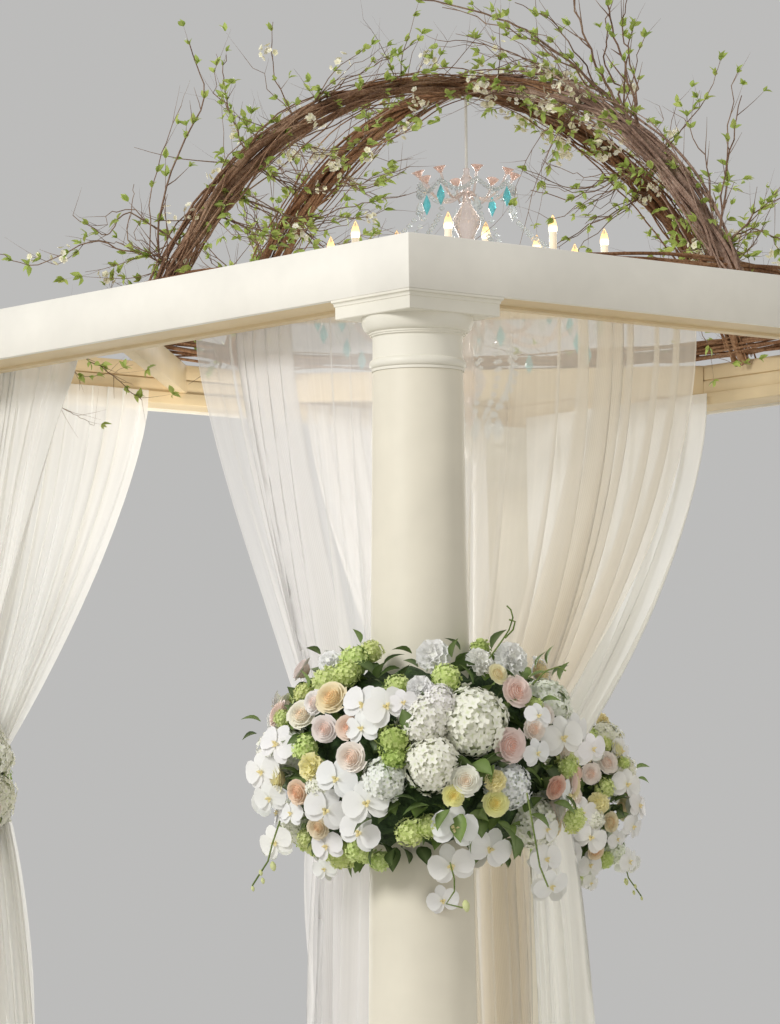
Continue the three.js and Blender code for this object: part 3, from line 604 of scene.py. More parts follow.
def column_base():
    """A square plinth with softened edges, a torus and a fillet."""
    low, top = BASE[0].z, BASE[1].z
    half = (BASE[1].x - BASE[0].x) / 2
    plinth_top = low + PLINTH_HEIGHT
    torus_top = plinth_top + TORUS_HEIGHT
    foot, head = plinth_top - 0.002, top - 0.001
    cube = Matrix.Translation(upward((low + plinth_top) / 2))
    cube = cube @ Matrix.Diagonal((2 * half, 2 * half, PLINTH_HEIGHT, 1))
    bm = bmesh.new()
    bmesh.ops.create_cube(bm, size=1, matrix=cube)
    bmesh.ops.bevel(bm, geom=bm.edges[:], offset=0.004, segments=2, profile=0.5, material=-1,
                    affect="EDGES")
    profile = [(0, foot), (half - 0.03, foot)]
    profile += arc((half - 0.039, (plinth_top + torus_top) / 2), TORUS_HEIGHT / 2, -88, 88, 12)
    profile += [(FILLET_RADIUS + 0.002, torus_top), (FILLET_RADIUS, torus_top + 0.002)]
    profile += [(FILLET_RADIUS, head), (0, head)]
    merge(bm, turned(profile, ROUND_STEPS))
    return bm


def shaft_radius(height):
    """Straight up to the taper, and then narrowing evenly, as in the frame."""
    share = max(0.0, (height - TAPER_START) / (SHAFT_TOP - TAPER_START))
    eased = share * share / (share + 0.04) if share > 0 else 0
    return SHAFT_RADIUS - (SHAFT_RADIUS - NECK_RADIUS) * eased * 1.04


def column_shaft():
    """A rounded foot, a straight length and the taper."""
    low, foot = SHAFT_BOTTOM, SHAFT_BOTTOM + FOOT_HEIGHT
    profile = [(0, low), (FOOT_RADIUS, low)]
    profile += arc((FOOT_RADIUS, low + 0.016), (0.009, 0.016), -60, 0, 3)
    profile += [(SHAFT_RADIUS + 0.003, low + 0.03), (SHAFT_RADIUS + 0.0005, low + 0.05)]
    heights = [foot + (SHAFT_TOP - foot) * i / SHAFT_STEPS for i in range(SHAFT_STEPS + 1)]
    profile += [(shaft_radius(z), z) for z in heights]
    profile.append((0, SHAFT_TOP))
    return turned(profile, ROUND_STEPS)


def column_capital():
    """A bead, a neck, a rounded echinus and a square abacus with a moulded rim."""
    low, top = CAPITAL[0].z, CAPITAL[1].z
    bead_low, neck_low = low + 0.007, low + 0.031
    echinus, abacus = top - 0.089, top - 0.050
    neck, ledge, echinus_foot, echinus_reach = 0.1150, 0.1205, 0.1235, 0.020
    profile = [(0, low), (0.1185, low), (0.1185, bead_low)]
    profile += arc((neck, (bead_low + neck_low) / 2), (0.0090, 0.012), -85, 85, 10)
    profile += [(neck, neck_low + 0.001)] + arc((0.1165, echinus - 0.0155), (0.0015, 0.006), 180, 90, 3)
    profile += [(ledge, echinus - 0.0095), (ledge, echinus - 0.005)]
    profile += [(echinus_foot, echinus - 0.005), (echinus_foot, echinus)]
    profile += arc((echinus_foot, abacus), (echinus_reach, abacus - echinus), -90, -2, 10)
    profile += [(echinus_foot + echinus_reach, abacus + 0.004), (0, abacus + 0.004)]
    bm = turned(profile, ROUND_STEPS)
    half, cap = 0.149, (CAPITAL[1].x - CAPITAL[0].x) / 2
    block = [(0, abacus), (half - 0.002, abacus), (half, abacus + 0.002), (half, top - 0.018)]
    block += [(half + 0.0025, top - 0.0165)]
    block += arc((half + 0.0085, top - 0.014), (0.006, 0.007), 180, 95, 4)
    block += [(cap - 0.001, top - 0.007), (cap, top - 0.006), (cap, top - 0.001), (cap - 0.001, top)]
    square = turned([(radius * math.sqrt(2), height) for radius, height in block + [(0, top)]], 4)
    bmesh.ops.rotate(square, cent=(0, 0, 0), matrix=Matrix.Rotation(math.pi / 4, 3, "Z"),
                     verts=square.verts)
    merge(bm, square)
    return bm


def make_columns():
    parts = {"base": column_base(), "shaft": column_shaft(), "capital": column_capital()}
    for part, bm in parts.items():
        pattern = mesh_from(bm, part)
        paint = CAPITAL_PAINT if part == "capital" else SHADED_COLUMN_PAINT
        for corner in CORNERS:
            mesh = pattern.copy()
            mesh.transform(Matrix.Translation(corner_place(corner)))
            name = corner_name(corner) + "_column_" + part
            add_piece(name + "_turned", mesh, [paint], [name])
        bpy.data.meshes.remove(pattern)


def add_board(node, name, edge, paint):
    add_piece(name, mesh_from(softened(node, edge), name), [paint], [node])


# Frame boards

BOARD_EDGE = 0.0015
BRACE_EDGE = 0.002


def make_boards():
    for side in SIDES:
        add_board(side + "_fascia", side + "_fascia_board", BOARD_EDGE, BOARD_PAINT)
        add_board(side + "_soffit", side + "_soffit_board", BOARD_EDGE, INNER_PAINT)
        add_board(side + "_rail", side + "_rail_boards", BOARD_EDGE, INNER_PAINT)
    for corner in CORNERS:
        node = corner_name(corner) + "_brace"
        add_board(node, node + "_board", BRACE_EDGE, INNER_PAINT)


# Curtains

# The height of the ties, and of the edge of the beam that hides the heads of the curtains
WAIST = 1.886
HEAD_LOW = UNDERSIDE - 0.002
CURTAIN_WIDTH = 1.42
CURTAIN_LENGTH = CURTAIN_TOP - CURTAIN_HEM
PLEATS = 10
CLOTH_COLUMNS = 156
CLOTH_ROWS = 44
# The edge beside the column, from its axis under the beam, at the tie and at the hem
HEAD_NEAR = 0.163
WAIST_NEAR = 0.150
HEM_NEAR = 0.200
# How deep the folds are at the same places, and how far out the tie draws them
HEAD_DEPTH = 0.046
WAIST_DEPTH = 0.092
HEM_DEPTH = 0.130
WAIST_OFFSET = 0.018
# The gap to the beam, the share of the width that hangs flat at either edge, and how far a
# fold may pass the edge
GAP = 0.0003
SELVAGE = 0.035
EDGE_SLACK = 0.008
# Widths of the turned-in hems, and how much of them is opaque
SIDE_HEM = 0.014
BOTTOM_HEM = 0.06
HEM_COVER = 0.72
# Each curtain's side, the column it is drawn to, its tone, and how its free edge hangs: its
# distance from the column's axis under the beam, at the tie and at the hem, and how late it
# comes in on the way down. The warm tone is painted shade, and the white and sunlit tones are
# painted light
CURTAINS = [
    ("front", "right", "cool", (1.022, 0.450, 0.540, 1.27)),
    ("front", "left", "white", (0.730, 0.205, 0.420, 0.80)),
    ("right", "front", "warm", (1.035, 0.395, 0.400, 1.80)),
    ("right", "back", "warm", (0.900, 0.335, 0.520, 1.40)),
    ("back", "right", "warm", (0.850, 0.335, 0.520, 1.40)),
    ("back", "left", "sunlit", (1.000, 0.205, 0.480, 1.60)),
    ("left", "back", "cool", (0.880, 0.335, 0.520, 1.40)),
    ("left", "front", "white", (0.790, 0.205, 0.480, 1.40)),
]


def curtain_row(edge, height):
    """Near and far edge from the column's axis, fold depth and outward offset at a height."""
    reach, tied, hem_far, curve = edge
    if height >= WAIST:
        drop = max(0.0, (HEAD_LOW - height) / (HEAD_LOW - WAIST))
        return (HEAD_NEAR + (WAIST_NEAR - HEAD_NEAR) * drop, reach + (tied - reach) * drop ** curve,
                HEAD_DEPTH + (WAIST_DEPTH - HEAD_DEPTH) * drop, WAIST_OFFSET * drop)
    fall = (WAIST - height) / (WAIST - CURTAIN_HEM)
    return (WAIST_NEAR + (HEM_NEAR - WAIST_NEAR) * fall, tied + (hem_far - tied) * fall ** 0.4,
            WAIST_DEPTH + (HEM_DEPTH - WAIST_DEPTH) * fall, WAIST_OFFSET)


def curtain_point(edge, u, height, seed):
    """Where a point of the cloth hangs: u runs from the column to the free edge. Each pleat
    folds back over itself, so that its band is three layers thick."""
    near, far, depth, offset = curtain_row(edge, height)
    drop = smooth((CURTAIN_TOP - height) / (CURTAIN_TOP - WAIST))
    drift = wander(u * 2.3, height * 0.18, seed) + 0.4 * wander(u * 6, height * 0.3, seed)
    phase = 2 * math.pi * (PLEATS * u + 1.9 * drift) + seed
    size = 1 + 1.1 * wander(u * 4.3, height * 0.3, seed + 5)
    inner = smooth(u / SELVAGE) * smooth((1 - u) / SELVAGE)
    pitch = (far - near) / PLEATS
    overlap = min(3.4, 1.5 / (far - near)) * size
    along = near + (far - near) * u + inner * overlap * pitch / (2 * math.pi) * math.sin(phase)
    along = min(max(along, near - EDGE_SLACK), far + EDGE_SLACK)
    ripple = wander(u * 11, height * 1.3, seed + 9)
    swell = wander(u * 2.3, height * 0.8, seed + 13)
    swing = 0.62 * size * math.sin(phase) + 0.16 * math.sin(2.6 * phase + 3 * drift) * drop
    swing += (0.16 * ripple + 0.42 * swell) * drop
    amount = (depth / 2 - 0.003) * (0.32 + 0.68 * drop)
    middle = BEAM_INNER - GAP - HEAD_DEPTH / 2 + offset
    return along, middle + max(-1.0, min(1.0, swing)) * amount


def curtain_mesh(name, side, end, edge, seed):
    """One curtain: a grid hung by curtain_point, with its flat size as UVs."""
    out, toward = SIDES[side], SIDES[end]
    bm = bmesh.new()
    uv = bm.loops.layers.uv.new("cloth")
    hem = bm.verts.layers.float.new("hem")
    made = bmesh.ops.create_grid(bm, x_segments=CLOTH_COLUMNS, y_segments=CLOTH_ROWS, size=0.5)
    flat = {}
    for vert in made["verts"]:
        u, v = vert.co.x + 0.5, 0.5 - vert.co.y
        height = CURTAIN_TOP - v * CURTAIN_LENGTH
        along, outward = curtain_point(edge, u, height, seed)
        vert.co = toward * (AXIS - along) + out * outward + upward(height)
        side_hem = min(u, 1 - u) * CURTAIN_WIDTH < SIDE_HEM
        vert[hem] = HEM_COVER if side_hem or (1 - v) * CURTAIN_LENGTH < BOTTOM_HEM else 0.0
        flat[vert] = (u * CURTAIN_WIDTH, v * CURTAIN_LENGTH)
    for face in bm.faces:
        for loop in face.loops:
            loop[uv].uv = flat[loop.vert]
    return mesh_from(bm, name)


def make_curtains():
    for number, (side, end, tone, edge) in enumerate(CURTAINS):
        node = f"{side}_{end}_curtain"
        mesh = curtain_mesh(node, side, end, edge, 1.3 * number + 0.4)
        piece = add_piece(node + "_voile", mesh, [VOILES[tone]], [node], sharp=NO_CREASE)


# Vines

HOOP_RADIUS = 1.212
HOOP_CENTRE = DOME_APEX - HOOP_RADIUS
FOOT_ANGLE = math.acos((RING_HEIGHT - HOOP_CENTRE) / HOOP_RADIUS)
# The direction that the shoots are listed from, about the Z axis
VIEW = math.radians(-40.5)
STEM_POINTS = 40
RING_STEMS = 40
# Short shoots on each leg and on the ring, and the chance of a twig at each of a shoot's points
LEG_SHOOTS = 40
RING_SHOOTS = 50
TWIG_CHANCE = 0.36
# What a listed thickness in millimetres is divided by to give a shoot's radius in metres, and
# that of the thinner ones beside it
TO_RADIUS = 2000
TO_THIN_RADIUS = 2700
# The stems of a leg's bundle: how many, their least and greatest radius, how widely they
# spread, and how far they stray from it
LEG_STEMS = [
    (3, 0.0105, 0.0140, 0.038, 0),
    (5, 0.0060, 0.0088, 0.042, 0.004),
    (9, 0.0030, 0.0050, 0.046, 0.014),
    (11, 0.0016, 0.0030, 0.050, 0.070),
]
# Long shoots as seen from the front right corner, in centimetres: the leg that each grows on,
# its thickness in millimetres, how far its tip leans towards the viewer, and its points
# across to the right and up from the ground
SHOOTS = [
    ("front", 7, 4, [(-80, 327), (-85, 332), (-81, 354), (-72, 374), (-76, 388)]),
    ("front", 4, 6, [(-82, 328), (-93, 334), (-92, 342), (-91, 349)]),
    ("front", 5, 0, [(-81, 328), (-92, 331), (-104, 334), (-118, 328), (-130, 331)]),
    ("front", 5, -5, [(-61, 361), (-65, 370), (-68, 381), (-67, 390)]),
    ("front", 4, 3, [(-49, 374), (-54, 386), (-54, 400)]),
    ("front", 4, 8, [(-44, 376), (-37, 386), (-26, 393)]),
    ("front", 4, -4, [(-42, 378), (-32, 386), (-22, 391), (-14, 396)]),
    ("front", 4, 5, [(-14, 386), (-10, 391), (-5, 399)]),
    ("front", 5, -12, [(-61, 359), (-47, 352), (-33, 353), (-16, 359)]),
    ("front", 5, -20, [(-67, 350), (-47, 343), (-34, 347), (-23, 350)]),
    ("front", 4, -10, [(-71, 344), (-55, 338), (-41, 341)]),
    ("front", 4, -15, [(-54, 369), (-42, 364), (-28, 366), (-12, 372)]),
    ("front", 5, 6, [(-79, 333), (-93, 342), (-99, 336), (-108, 341)]),
    ("left", 5, 10, [(-40, 371), (-30, 366), (-18, 371)]),
    ("left", 4, 18, [(-53, 359), (-40, 349), (-27, 352), (-10, 348)]),
    ("left", 4, -6, [(-57, 353), (-66, 362), (-72, 373)]),
    ("left", 4, -8, [(-24, 384), (-30, 392), (-26, 400)]),
    ("left", 6, -28, [(-61, 345), (-67, 357), (-69, 371)]),
    ("left", 5, -30, [(-67, 333), (-75, 338), (-84, 336), (-91, 340)]),
    ("left", 5, -16, [(-46, 366), (-54, 379), (-56, 393)]),
    ("left", 4, -24, [(-63, 340), (-52, 346), (-44, 356)]),
    ("left", 5, 18, [(-64, 339), (-76, 349), (-83, 362)]),
    ("right", 8, 4, [(44, 372), (34, 382), (20, 393), (6, 400), (-17, 405), (-28, 409)]),
    ("right", 6, 8, [(39, 377), (32, 388), (24, 398), (14, 403)]),
    ("right", 9, -3, [(46, 369), (39, 380), (34, 392), (31, 403), (30, 418)]),
    ("right", 9, 3, [(48, 367), (45, 382), (41, 394), (40, 403), (41, 421)]),
    ("right", 6, 6, [(44, 371), (45, 386), (47, 395)]),
    ("right", 5, -8, [(28, 384), (20, 390), (6, 396), (-8, 398)]),
    ("right", 7, 5, [(69, 334), (72, 355), (75, 370)]),
    ("right", 6, -5, [(67, 334), (66, 352), (60, 366)]),
    ("right", 5, 0, [(69, 331), (79, 334), (86, 331), (95, 335)]),
    ("right", 5, 8, [(69, 328), (80, 339), (88, 342)]),
    ("right", 4, -18, [(32, 378), (22, 362), (15, 339)]),
    ("right", 5, -14, [(57, 356), (44, 352), (30, 347), (18, 350)]),
    ("right", 4, 10, [(55, 359), (66, 372), (70, 382)]),
    ("back", 5, 12, [(50, 373), (35, 364), (18, 369)]),
    ("back", 5, 16, [(54, 364), (39, 355), (25, 346)]),
    ("back", 5, -4, [(67, 349), (76, 353), (84, 349)]),
    ("back", 4, -8, [(30, 384), (36, 393), (34, 402)]),
    ("back", 6, -26, [(71, 345), (76, 357), (76, 371)]),
    ("back", 5, -30, [(78, 333), (87, 338), (96, 336), (103, 341)]),
    ("back", 5, -14, [(54, 366), (60, 380), (64, 394)]),
    ("back", 4, -24, [(74, 340), (64, 347), (52, 353)]),
    ("back", 5, 20, [(74, 340), (86, 350), (92, 362)]),
]
# Shoots that hang from the ring: thickness, lean and points as above
HANGING_SHOOTS = [
    (4, 4, [(-118, 324), (-111, 311), (-104, 306), (-97, 300), (-94, 298)]),
    (3, 2, [(-120, 323), (-116, 311), (-112, 305), (-104, 306), (-97, 308)]),
    (3, 6, [(-121, 322), (-121, 308), (-118, 297), (-113, 293), (-108, 290)]),
    (3, -4, [(66, 322), (70, 312), (78, 307), (84, 309)]),
]
# Where leaves and blossom sit on the legs themselves: the leg, from and to as shares of its
# arc from the top, how many places for a tuft, and the chance of blossom at each
BLOSSOM_BANDS = [
    ("back", 0.02, 0.42, 60, 0.50), ("right", 0.04, 0.50, 44, 0.45), ("back", 0.42, 0.95, 30, 0.15),
    ("right", 0.50, 1.00, 30, 0.10), ("left", 0.05, 0.95, 64, 0.08), ("front", 0.05, 0.95, 50, 0.12),
]


def hoop_spot(side, angle):
    """A point of a leg's centreline and its outward direction. The angle is from the top."""
    out = SIDES[side] * math.sin(angle) + upward(math.cos(angle))
    return upward(HOOP_CENTRE) + out * HOOP_RADIUS, out


def crossways(side):
    """The level direction across a leg."""
    return SIDES[side].cross(upward(1))


def leg_stem(side, rng, thick, spread, stray):
    """One stem of a leg's bundle, from below the ring to past the top, where the bundle is
    narrow. A stray stem leaves the bundle on its way."""
    cross = crossways(side)
    start = FOOT_ANGLE + rng.uniform(-0.02, 0.05)
    end = rng.uniform(-0.45, 0.10)
    turn = rng.uniform(0, 2 * math.pi)
    twist = rng.uniform(-3.6, 3.6)
    gap = spread * math.sqrt(rng.random())
    seed = rng.uniform(0, 90)
    path = []
    for i in range(STEM_POINTS):
        t = i / (STEM_POINTS - 1)
        angle = start + (end - start) * t
        centre, out = hoop_spot(side, angle)
        phase = turn + twist * t + 1.7 * wander(t * 3.6, seed, 0)
        wide = gap * (0.50 + 0.58 * max(0.0, angle) / FOOT_ANGLE) * (1.0 + 0.5 * wander(t * 4, seed, 9))
        wide += stray * math.sin(math.pi * t) * (0.4 + 0.6 * wander(t * 2.5, seed, 2))
        kink = 0.007 * wander(t * 15, seed, 7)
        point = centre + out * (wide * math.sin(phase) + kink) + cross * (wide * math.cos(phase) + kink)
        path.append((point, thick * (1.0 - 0.40 * t) * (0.90 + 0.20 * wander(t * 14, seed, 4))))
    return path


def ring_stem(rng, thick, spread):
    """One stem of the ring's bundle, which goes part of the way round."""
    begin = rng.uniform(0, 2 * math.pi)
    length = rng.uniform(1.2, 3.6)
    turn = rng.uniform(0, 2 * math.pi)
    twist = rng.uniform(-4, 4)
    gap = spread * math.sqrt(rng.random())
    seed = rng.uniform(0, 90)
    path = []
    count = int(16 * length) + 4
    for i in range(count):
        t = i / (count - 1)
        phase = turn + twist * t + wander(t * 4, seed, 0)
        wide = gap * (0.9 + 0.8 * wander(t * 6, seed, 2))
        point = level(begin + length * t) * (RING_RADIUS + wide * math.cos(phase))
        path.append((point + upward(RING_HEIGHT + wide * math.sin(phase)), thick * (1 - 0.4 * t)))
    return path


def shoot_path(rng, start, heading, length, thick, bend, steps):
    """A whippy shoot that wanders and turns a little upwards."""
    point, direction = Vector(start), Vector(heading).normalized()
    seed = rng.uniform(0, 90)
    path = [(point, thick)]
    for i in range(1, steps):
        t = i / (steps - 1)
        sway = wandering(t * 3, seed) + upward(0.18)
        direction = (direction + sway * bend * 0.35).normalized()
        point = point + direction * (length / (steps - 1))
        path.append((point, thick * (1 - 0.75 * t)))
    return path


def shaped_petal(bm, across, rows, place_vert, shade, start_shade=0.0, end_shade=1.0, slot=0):
    """A grid of across by rows faces, moved by place_vert(s, t): s from -1 to 1, t from 0 to 1."""
    made = bmesh.ops.create_grid(bm, x_segments=across, y_segments=rows, size=0.5)
    for vert in made["verts"]:
        s, t = vert.co.x * 2, vert.co.y + 0.5
        vert[shade] = start_shade + (end_shade - start_shade) * t
        vert.co = place_vert(s, t)
    for face in {f for v in made["verts"] for f in v.link_faces}:
        face.material_index = slot
    return made["verts"]


def folded_leaf(name, rows, form, rib):
    """A leaf 1 long, its foot at the origin and its tip along +Y. form gives its half width
    and its rise at (s, t), and the rib is paler by the value given."""
    bm, shade = shaded_mesh()

    def spot(s, t):
        half, rise = form(s, t)
        return Vector((s * half, t, rise))

    for vert in shaped_petal(bm, 2, rows, spot, shade):
        vert[shade] = rib if abs(vert.co.x) < 1e-4 else 0.0
    return mesh_from(bm, name)


def small_leaf():
    """A vine's young leaf, narrow and lightly folded."""
    def form(s, t):
        half = 0.27 * math.sin(math.pi * min(1, t * 0.96 + 0.04) ** 0.75) * (1 - 0.15 * t)
        return half, 0.40 * abs(s) * half + 0.16 * t * (1 - t) - 0.12 * t * t

    return folded_leaf("small_leaf", 3, form, 0.55)


def blossom():
    """A cherry blossom 2 across, five round petals round a yellow-green middle."""
    bm, shade = shaded_mesh()
    for k in range(5):
        turn = Matrix.Rotation(k * 2 * math.pi / 5, 3, "Z")

        def spot(s, t, turn=turn):
            half = 0.52 * math.sin(math.pi * (0.12 + 0.76 * t)) ** 0.8
            return turn @ Vector((s * half, 0.08 + 0.92 * t, 0.30 * t + 0.12 * s * s))

        shaped_petal(bm, 2, 2, spot, shade)
    return mesh_from(bm, "blossom")


def shoot_route(leg, lean, points):
    """The places of a shoot's points, as listed. It starts beside its leg, or else at the
    ring's far left or right."""
    right, ahead = level(VIEW + math.pi / 2), level(VIEW)
    first = points[0][0] * SIDES[leg].dot(ahead) / SIDES[leg].dot(right) if leg else 0.0
    last = len(points) - 1
    return [(right * across + ahead * (first + lean * i / last) + upward(up)) / 100
            for i, (across, up) in enumerate(points)]


def smooth_route(points, steps):
    """A smooth curve through the points, with some steps between each two."""
    ends = [points[0] * 2 - points[1]] + points + [points[-1] * 2 - points[-2]]
    route = []
    for a, b, c, d in zip(ends, ends[1:], ends[2:], ends[3:]):
        for k in range(steps):
            t = k / steps
            route.append(0.5 * ((2 * b) + (c - a) * t + (2 * a - 5 * b + 4 * c - d) * t * t
                                + (3 * b - a - 3 * c + d) * t ** 3))
    return route + [points[-1]]


def vine_greens(rng, spots, leaves, blooms, leaf_chance, bloom_chance, leaf_size):
    """Puts tufts of young leaves and sprays of blossom at the given (point, direction) pairs."""
    for point, direction in spots:
        roll = rng.random()
        if roll < leaf_chance:
            for _ in range(rng.randint(3, 6)):
                away = direction + strewn(rng, -0.6, 1)
                turn = rng.uniform(-1.2, 1.2)
                size = leaf_size * rng.uniform(0.5, 1.25)
                green = rng.random()
                tint = (0.34 + 0.26 * green, 0.48 + 0.20 * green, 0.08 + 0.10 * green)
                leaves.append((pointing(point, away, size, turn), tint))
        elif roll < leaf_chance + bloom_chance:
            for _ in range(rng.randint(5, 11)):
                shift = jitter(rng, 1, 1)
                size, turn = rng.uniform(0.007, 0.011), rng.uniform(0, 6)
                spot = place(point + shift * 0.013, direction * 0.4 + shift, size, turn)
                blooms.append((spot, (0.93, 0.90, rng.uniform(0.66, 0.80))))


def swayed(rng, route, thick, sway, drift):
    """A stem along a route, with small kinks, that drifts away from it towards its tip."""
    seed = rng.uniform(0, 90)
    path = []
    for i, point in enumerate(route):
        t = i / (len(route) - 1)
        path.append((point + wandering(i * 0.6, seed) * sway + drift * t, thick * (1 - 0.6 * t)))
    return path


def listed_shoots(rng):
    """The long shoots, each with thinner ones beside it, and the hanging ones alone. There
    are more thin ones inside the dome."""
    shoots = []
    for leg, thick, lean, points in SHOOTS:
        route = smooth_route(shoot_route(leg, lean, points), 5)
        shoots.append(swayed(rng, route, thick / TO_RADIUS, 0.010, Vector()))
        inside = lean <= -8 or leg in ("left", "back")
        for _ in range(4 if inside else 1):
            drift = jitter(rng, 0.045, 0.04)
            length = rng.randint(len(route) * 2 // 3, len(route))
            shoots.append(swayed(rng, route[:length], thick / TO_THIN_RADIUS, 0.024, drift))
    for thick, lean, points in HANGING_SHOOTS:
        route = smooth_route(shoot_route(None, lean, points), 5)
        shoots.append(swayed(rng, route, thick / TO_RADIUS, 0.010, Vector()))
    return shoots


def leg_shoots(rng):
    """Short shoots that leave the legs and the ring on all sides."""
    shoots = []

    def set_off(spot, heading, longest):
        length, thick = rng.uniform(0.12, longest), rng.uniform(0.0012, 0.0022)
        shoots.append(shoot_path(rng, spot, heading, length, thick, bend=0.9, steps=8))

    for side in SIDES:
        cross = crossways(side)
        for _ in range(LEG_SHOOTS):
            spot, out = hoop_spot(side, FOOT_ANGLE * rng.uniform(0.02, 1.0))
            along = out.cross(cross) * rng.choice((-1, 1))
            heading = along * rng.uniform(0.4, 1.2) + out * rng.uniform(-0.5, 0.6)
            set_off(spot, heading + cross * rng.uniform(-0.8, 0.8), 0.36)
    for _ in range(RING_SHOOTS):
        out = level(rng.uniform(0, 2 * math.pi))
        inward = out * rng.uniform(-0.6, 0.6)
        round_it = Vector((-out.y, out.x, rng.uniform(-0.3, 0.5))) * rng.choice((-1, 1))
        set_off(out * RING_RADIUS + upward(RING_HEIGHT), inward + round_it, 0.30)
    return shoots


def make_stems(rng):
    """The legs' bundles of thick, middling and stray stems, and the ring's."""
    for side in SIDES:
        stems = [leg_stem(side, rng, rng.uniform(thin, thick), spread, stray)
                 for count, thin, thick, spread, stray in LEG_STEMS for _ in range(count)]
        add_tubes(side + "_leg_stems", stems, 1, LEG_BARKS[side], [side + "_vine_leg"], 60)
    stems = [ring_stem(rng, rng.uniform(0.0028, 0.0075), 0.036) for _ in range(RING_STEMS)]
    add_tubes("ring_stems", stems, 1, RED_BARK, ["vine_ring"], 60)


def make_vines():
    """The dome: its stems, its shoots with their side twigs, and leaves and blossom."""
    rng = random.Random(20)
    make_stems(rng)
    shoots = listed_shoots(rng) + leg_shoots(rng)
    branches, spots = [], []
    for path in shoots:
        for (before, _), (point, radius) in zip(path, path[1:]):
            direction = (point - before).normalized()
            spots.append((point, direction))
            if rng.random() < TWIG_CHANCE:
                heading = direction + strewn(rng, -0.4, 0.9)
                length = rng.uniform(0.03, 0.12)
                branch = shoot_path(rng, point, heading, length, radius * 0.7, bend=0.8, steps=4)
                branches.append(branch)
                spots.append((branch[-1][0], heading.normalized()))
    add_tubes("vine_shoots", shoots + branches, 0, TWIG_BARK, sharp=80)
    leaves, blooms = [], []
    vine_greens(rng, spots, leaves, blooms, leaf_chance=0.22, bloom_chance=0.010, leaf_size=0.028)
    for side, low, high, count, bloom in BLOSSOM_BANDS:
        near = []
        for _ in range(count):
            spot, out = hoop_spot(side, FOOT_ANGLE * rng.uniform(low, high))
            shift = out * rng.uniform(-0.07, 0.05) + crossways(side) * rng.uniform(-0.07, 0.07)
            near.append((spot + shift, (shift + out * 0.02).normalized()))
        vine_greens(rng, near, leaves, blooms, leaf_chance=0.45, bloom_chance=bloom, leaf_size=0.027)
    add_copies("vine_leaves", small_leaf(), leaves, [YOUNG_LEAF])
    add_copies("vine_blossom", blossom(), blooms, [PETAL])


# Chandelier

# Candle arms in two rings: how many, and where the first one points, in degrees
OUTER_ARMS = 8
OUTER_TURN = -3
INNER_ARMS = 4
INNER_TURN = 64.5
ARM_REACH = 0.400
INNER_REACH = 0.210
# Heights above the ground
HUB = 3.250
PAN = 3.320
CROWN = 3.610
FLAME_TOP = 3.465
BULB_FOOT = FLAME_TOP - 0.062
BULB_HEIGHT = 0.061
CROWN_REACH = 0.138
CROWN_ARMS = 8
# How far the drops under the crown's arms hang, by turns
CROWN_DROPS = (0.055, 0.085)
ARM_STEPS = 16
ARM_DIP = 0.105
BEAD_SPACING = 0.021
END_DROP = 0.033
BOWL_STRINGS = 14
CORD_RADIUS = 0.004


def crystal_bead(size, tall=1.0):
    """A cut bead or drop about the Z axis, 1 across at size 1."""
    profile = [(0, -0.5 * tall), (0.5, -0.08 * tall), (0.42, 0.12 * tall), (0, 0.5 * tall)]
    return mesh_from(turned([(radius * size, height * size) for radius, height in profile], 8), "bead")


def drop_string(top, length):
    """Places of beads down a short string, and of the drop at its end."""
    count = max(1, int(length / BEAD_SPACING))
    beads = [top - upward(BEAD_SPACING * (i + 0.5)) for i in range(count)]
    return beads, top - upward(BEAD_SPACING * count + END_DROP)


def arm_path(angle, reach):
    """A candle arm that dips from the hub and rises to its pan."""
    path = []
    for i in range(ARM_STEPS + 1):
        t = i / ARM_STEPS
        r = 0.03 + (reach - 0.03) * (1 - (1 - t) ** 1.25)
        dip = ARM_DIP * math.sin(math.pi * min(1, t * 1.08))
        z = HUB - dip + (PAN + 0.004 - HUB) * smooth((t - 0.62) / 0.38)
        path.append((level(angle) * r + upward(z), 0.0075 - 0.0015 * t))
    return path


def flame_bulb():
    """A bulb in the form of a flame, whose value for its colour follows its height."""
    bm = turned([(0, 0), (0.007, 0.001), (0.0125, 0.014), (0.0128, 0.022), (0.009, 0.040),
                 (0.004, 0.053), (0, BULB_HEIGHT)], 14)
    shade = bm.verts.layers.float.new("shade")
    for vert in bm.verts:
        vert[shade] = vert.co.z / BULB_HEIGHT
    return mesh_from(bm, "bulb")


def untinted(spots, height=0.0):
    """Copies upright at these spots, raised by a height, with no tint of their own."""
    return [(Matrix.Translation(spot + upward(height)), WHITE) for spot in spots]


def pan_strings(lights, beads, drops, blue):
    """Six short strings under each candle's pan."""
    rng = random.Random(5)
    for k, spot in enumerate(lights):
        for j in range(6):
            top = spot + level(j * math.pi / 3 + k) * 0.040 + upward(PAN + 0.010)
            row, end = drop_string(top, rng.uniform(0.03, 0.14))
            beads.extend(row)
            (blue if (j + k) % 5 == 0 else drops).append(end)


def arm_swags(beads, blue):
    """A swag from each outer arm to the next, and a string from the crown down to its middle."""
    for k in range(OUTER_ARMS):
        angle = math.radians(OUTER_TURN + 360 * k / OUTER_ARMS)
        for step in range(1, 16):
            t = step / 16
            bow = math.sin(math.pi * t)
            way = level(angle + t * 2 * math.pi / OUTER_ARMS)
            beads.append(way * (ARM_REACH * (1 - 0.10 * bow)) + upward(PAN - 0.004 - 0.085 * bow))
        way = level(angle + math.pi / OUTER_ARMS)
        for step in range(1, 17):
            t = step / 17
            drape = CROWN - 0.05 + (PAN + 0.07 - CROWN) * t ** 0.55
            beads.append(way * (0.13 + (ARM_REACH - 0.16) * t) + upward(drape))
        row, end = drop_string(way * (ARM_REACH * 0.9) + upward(PAN - 0.09), 0.10)
        beads.extend(row)
        blue.append(end)


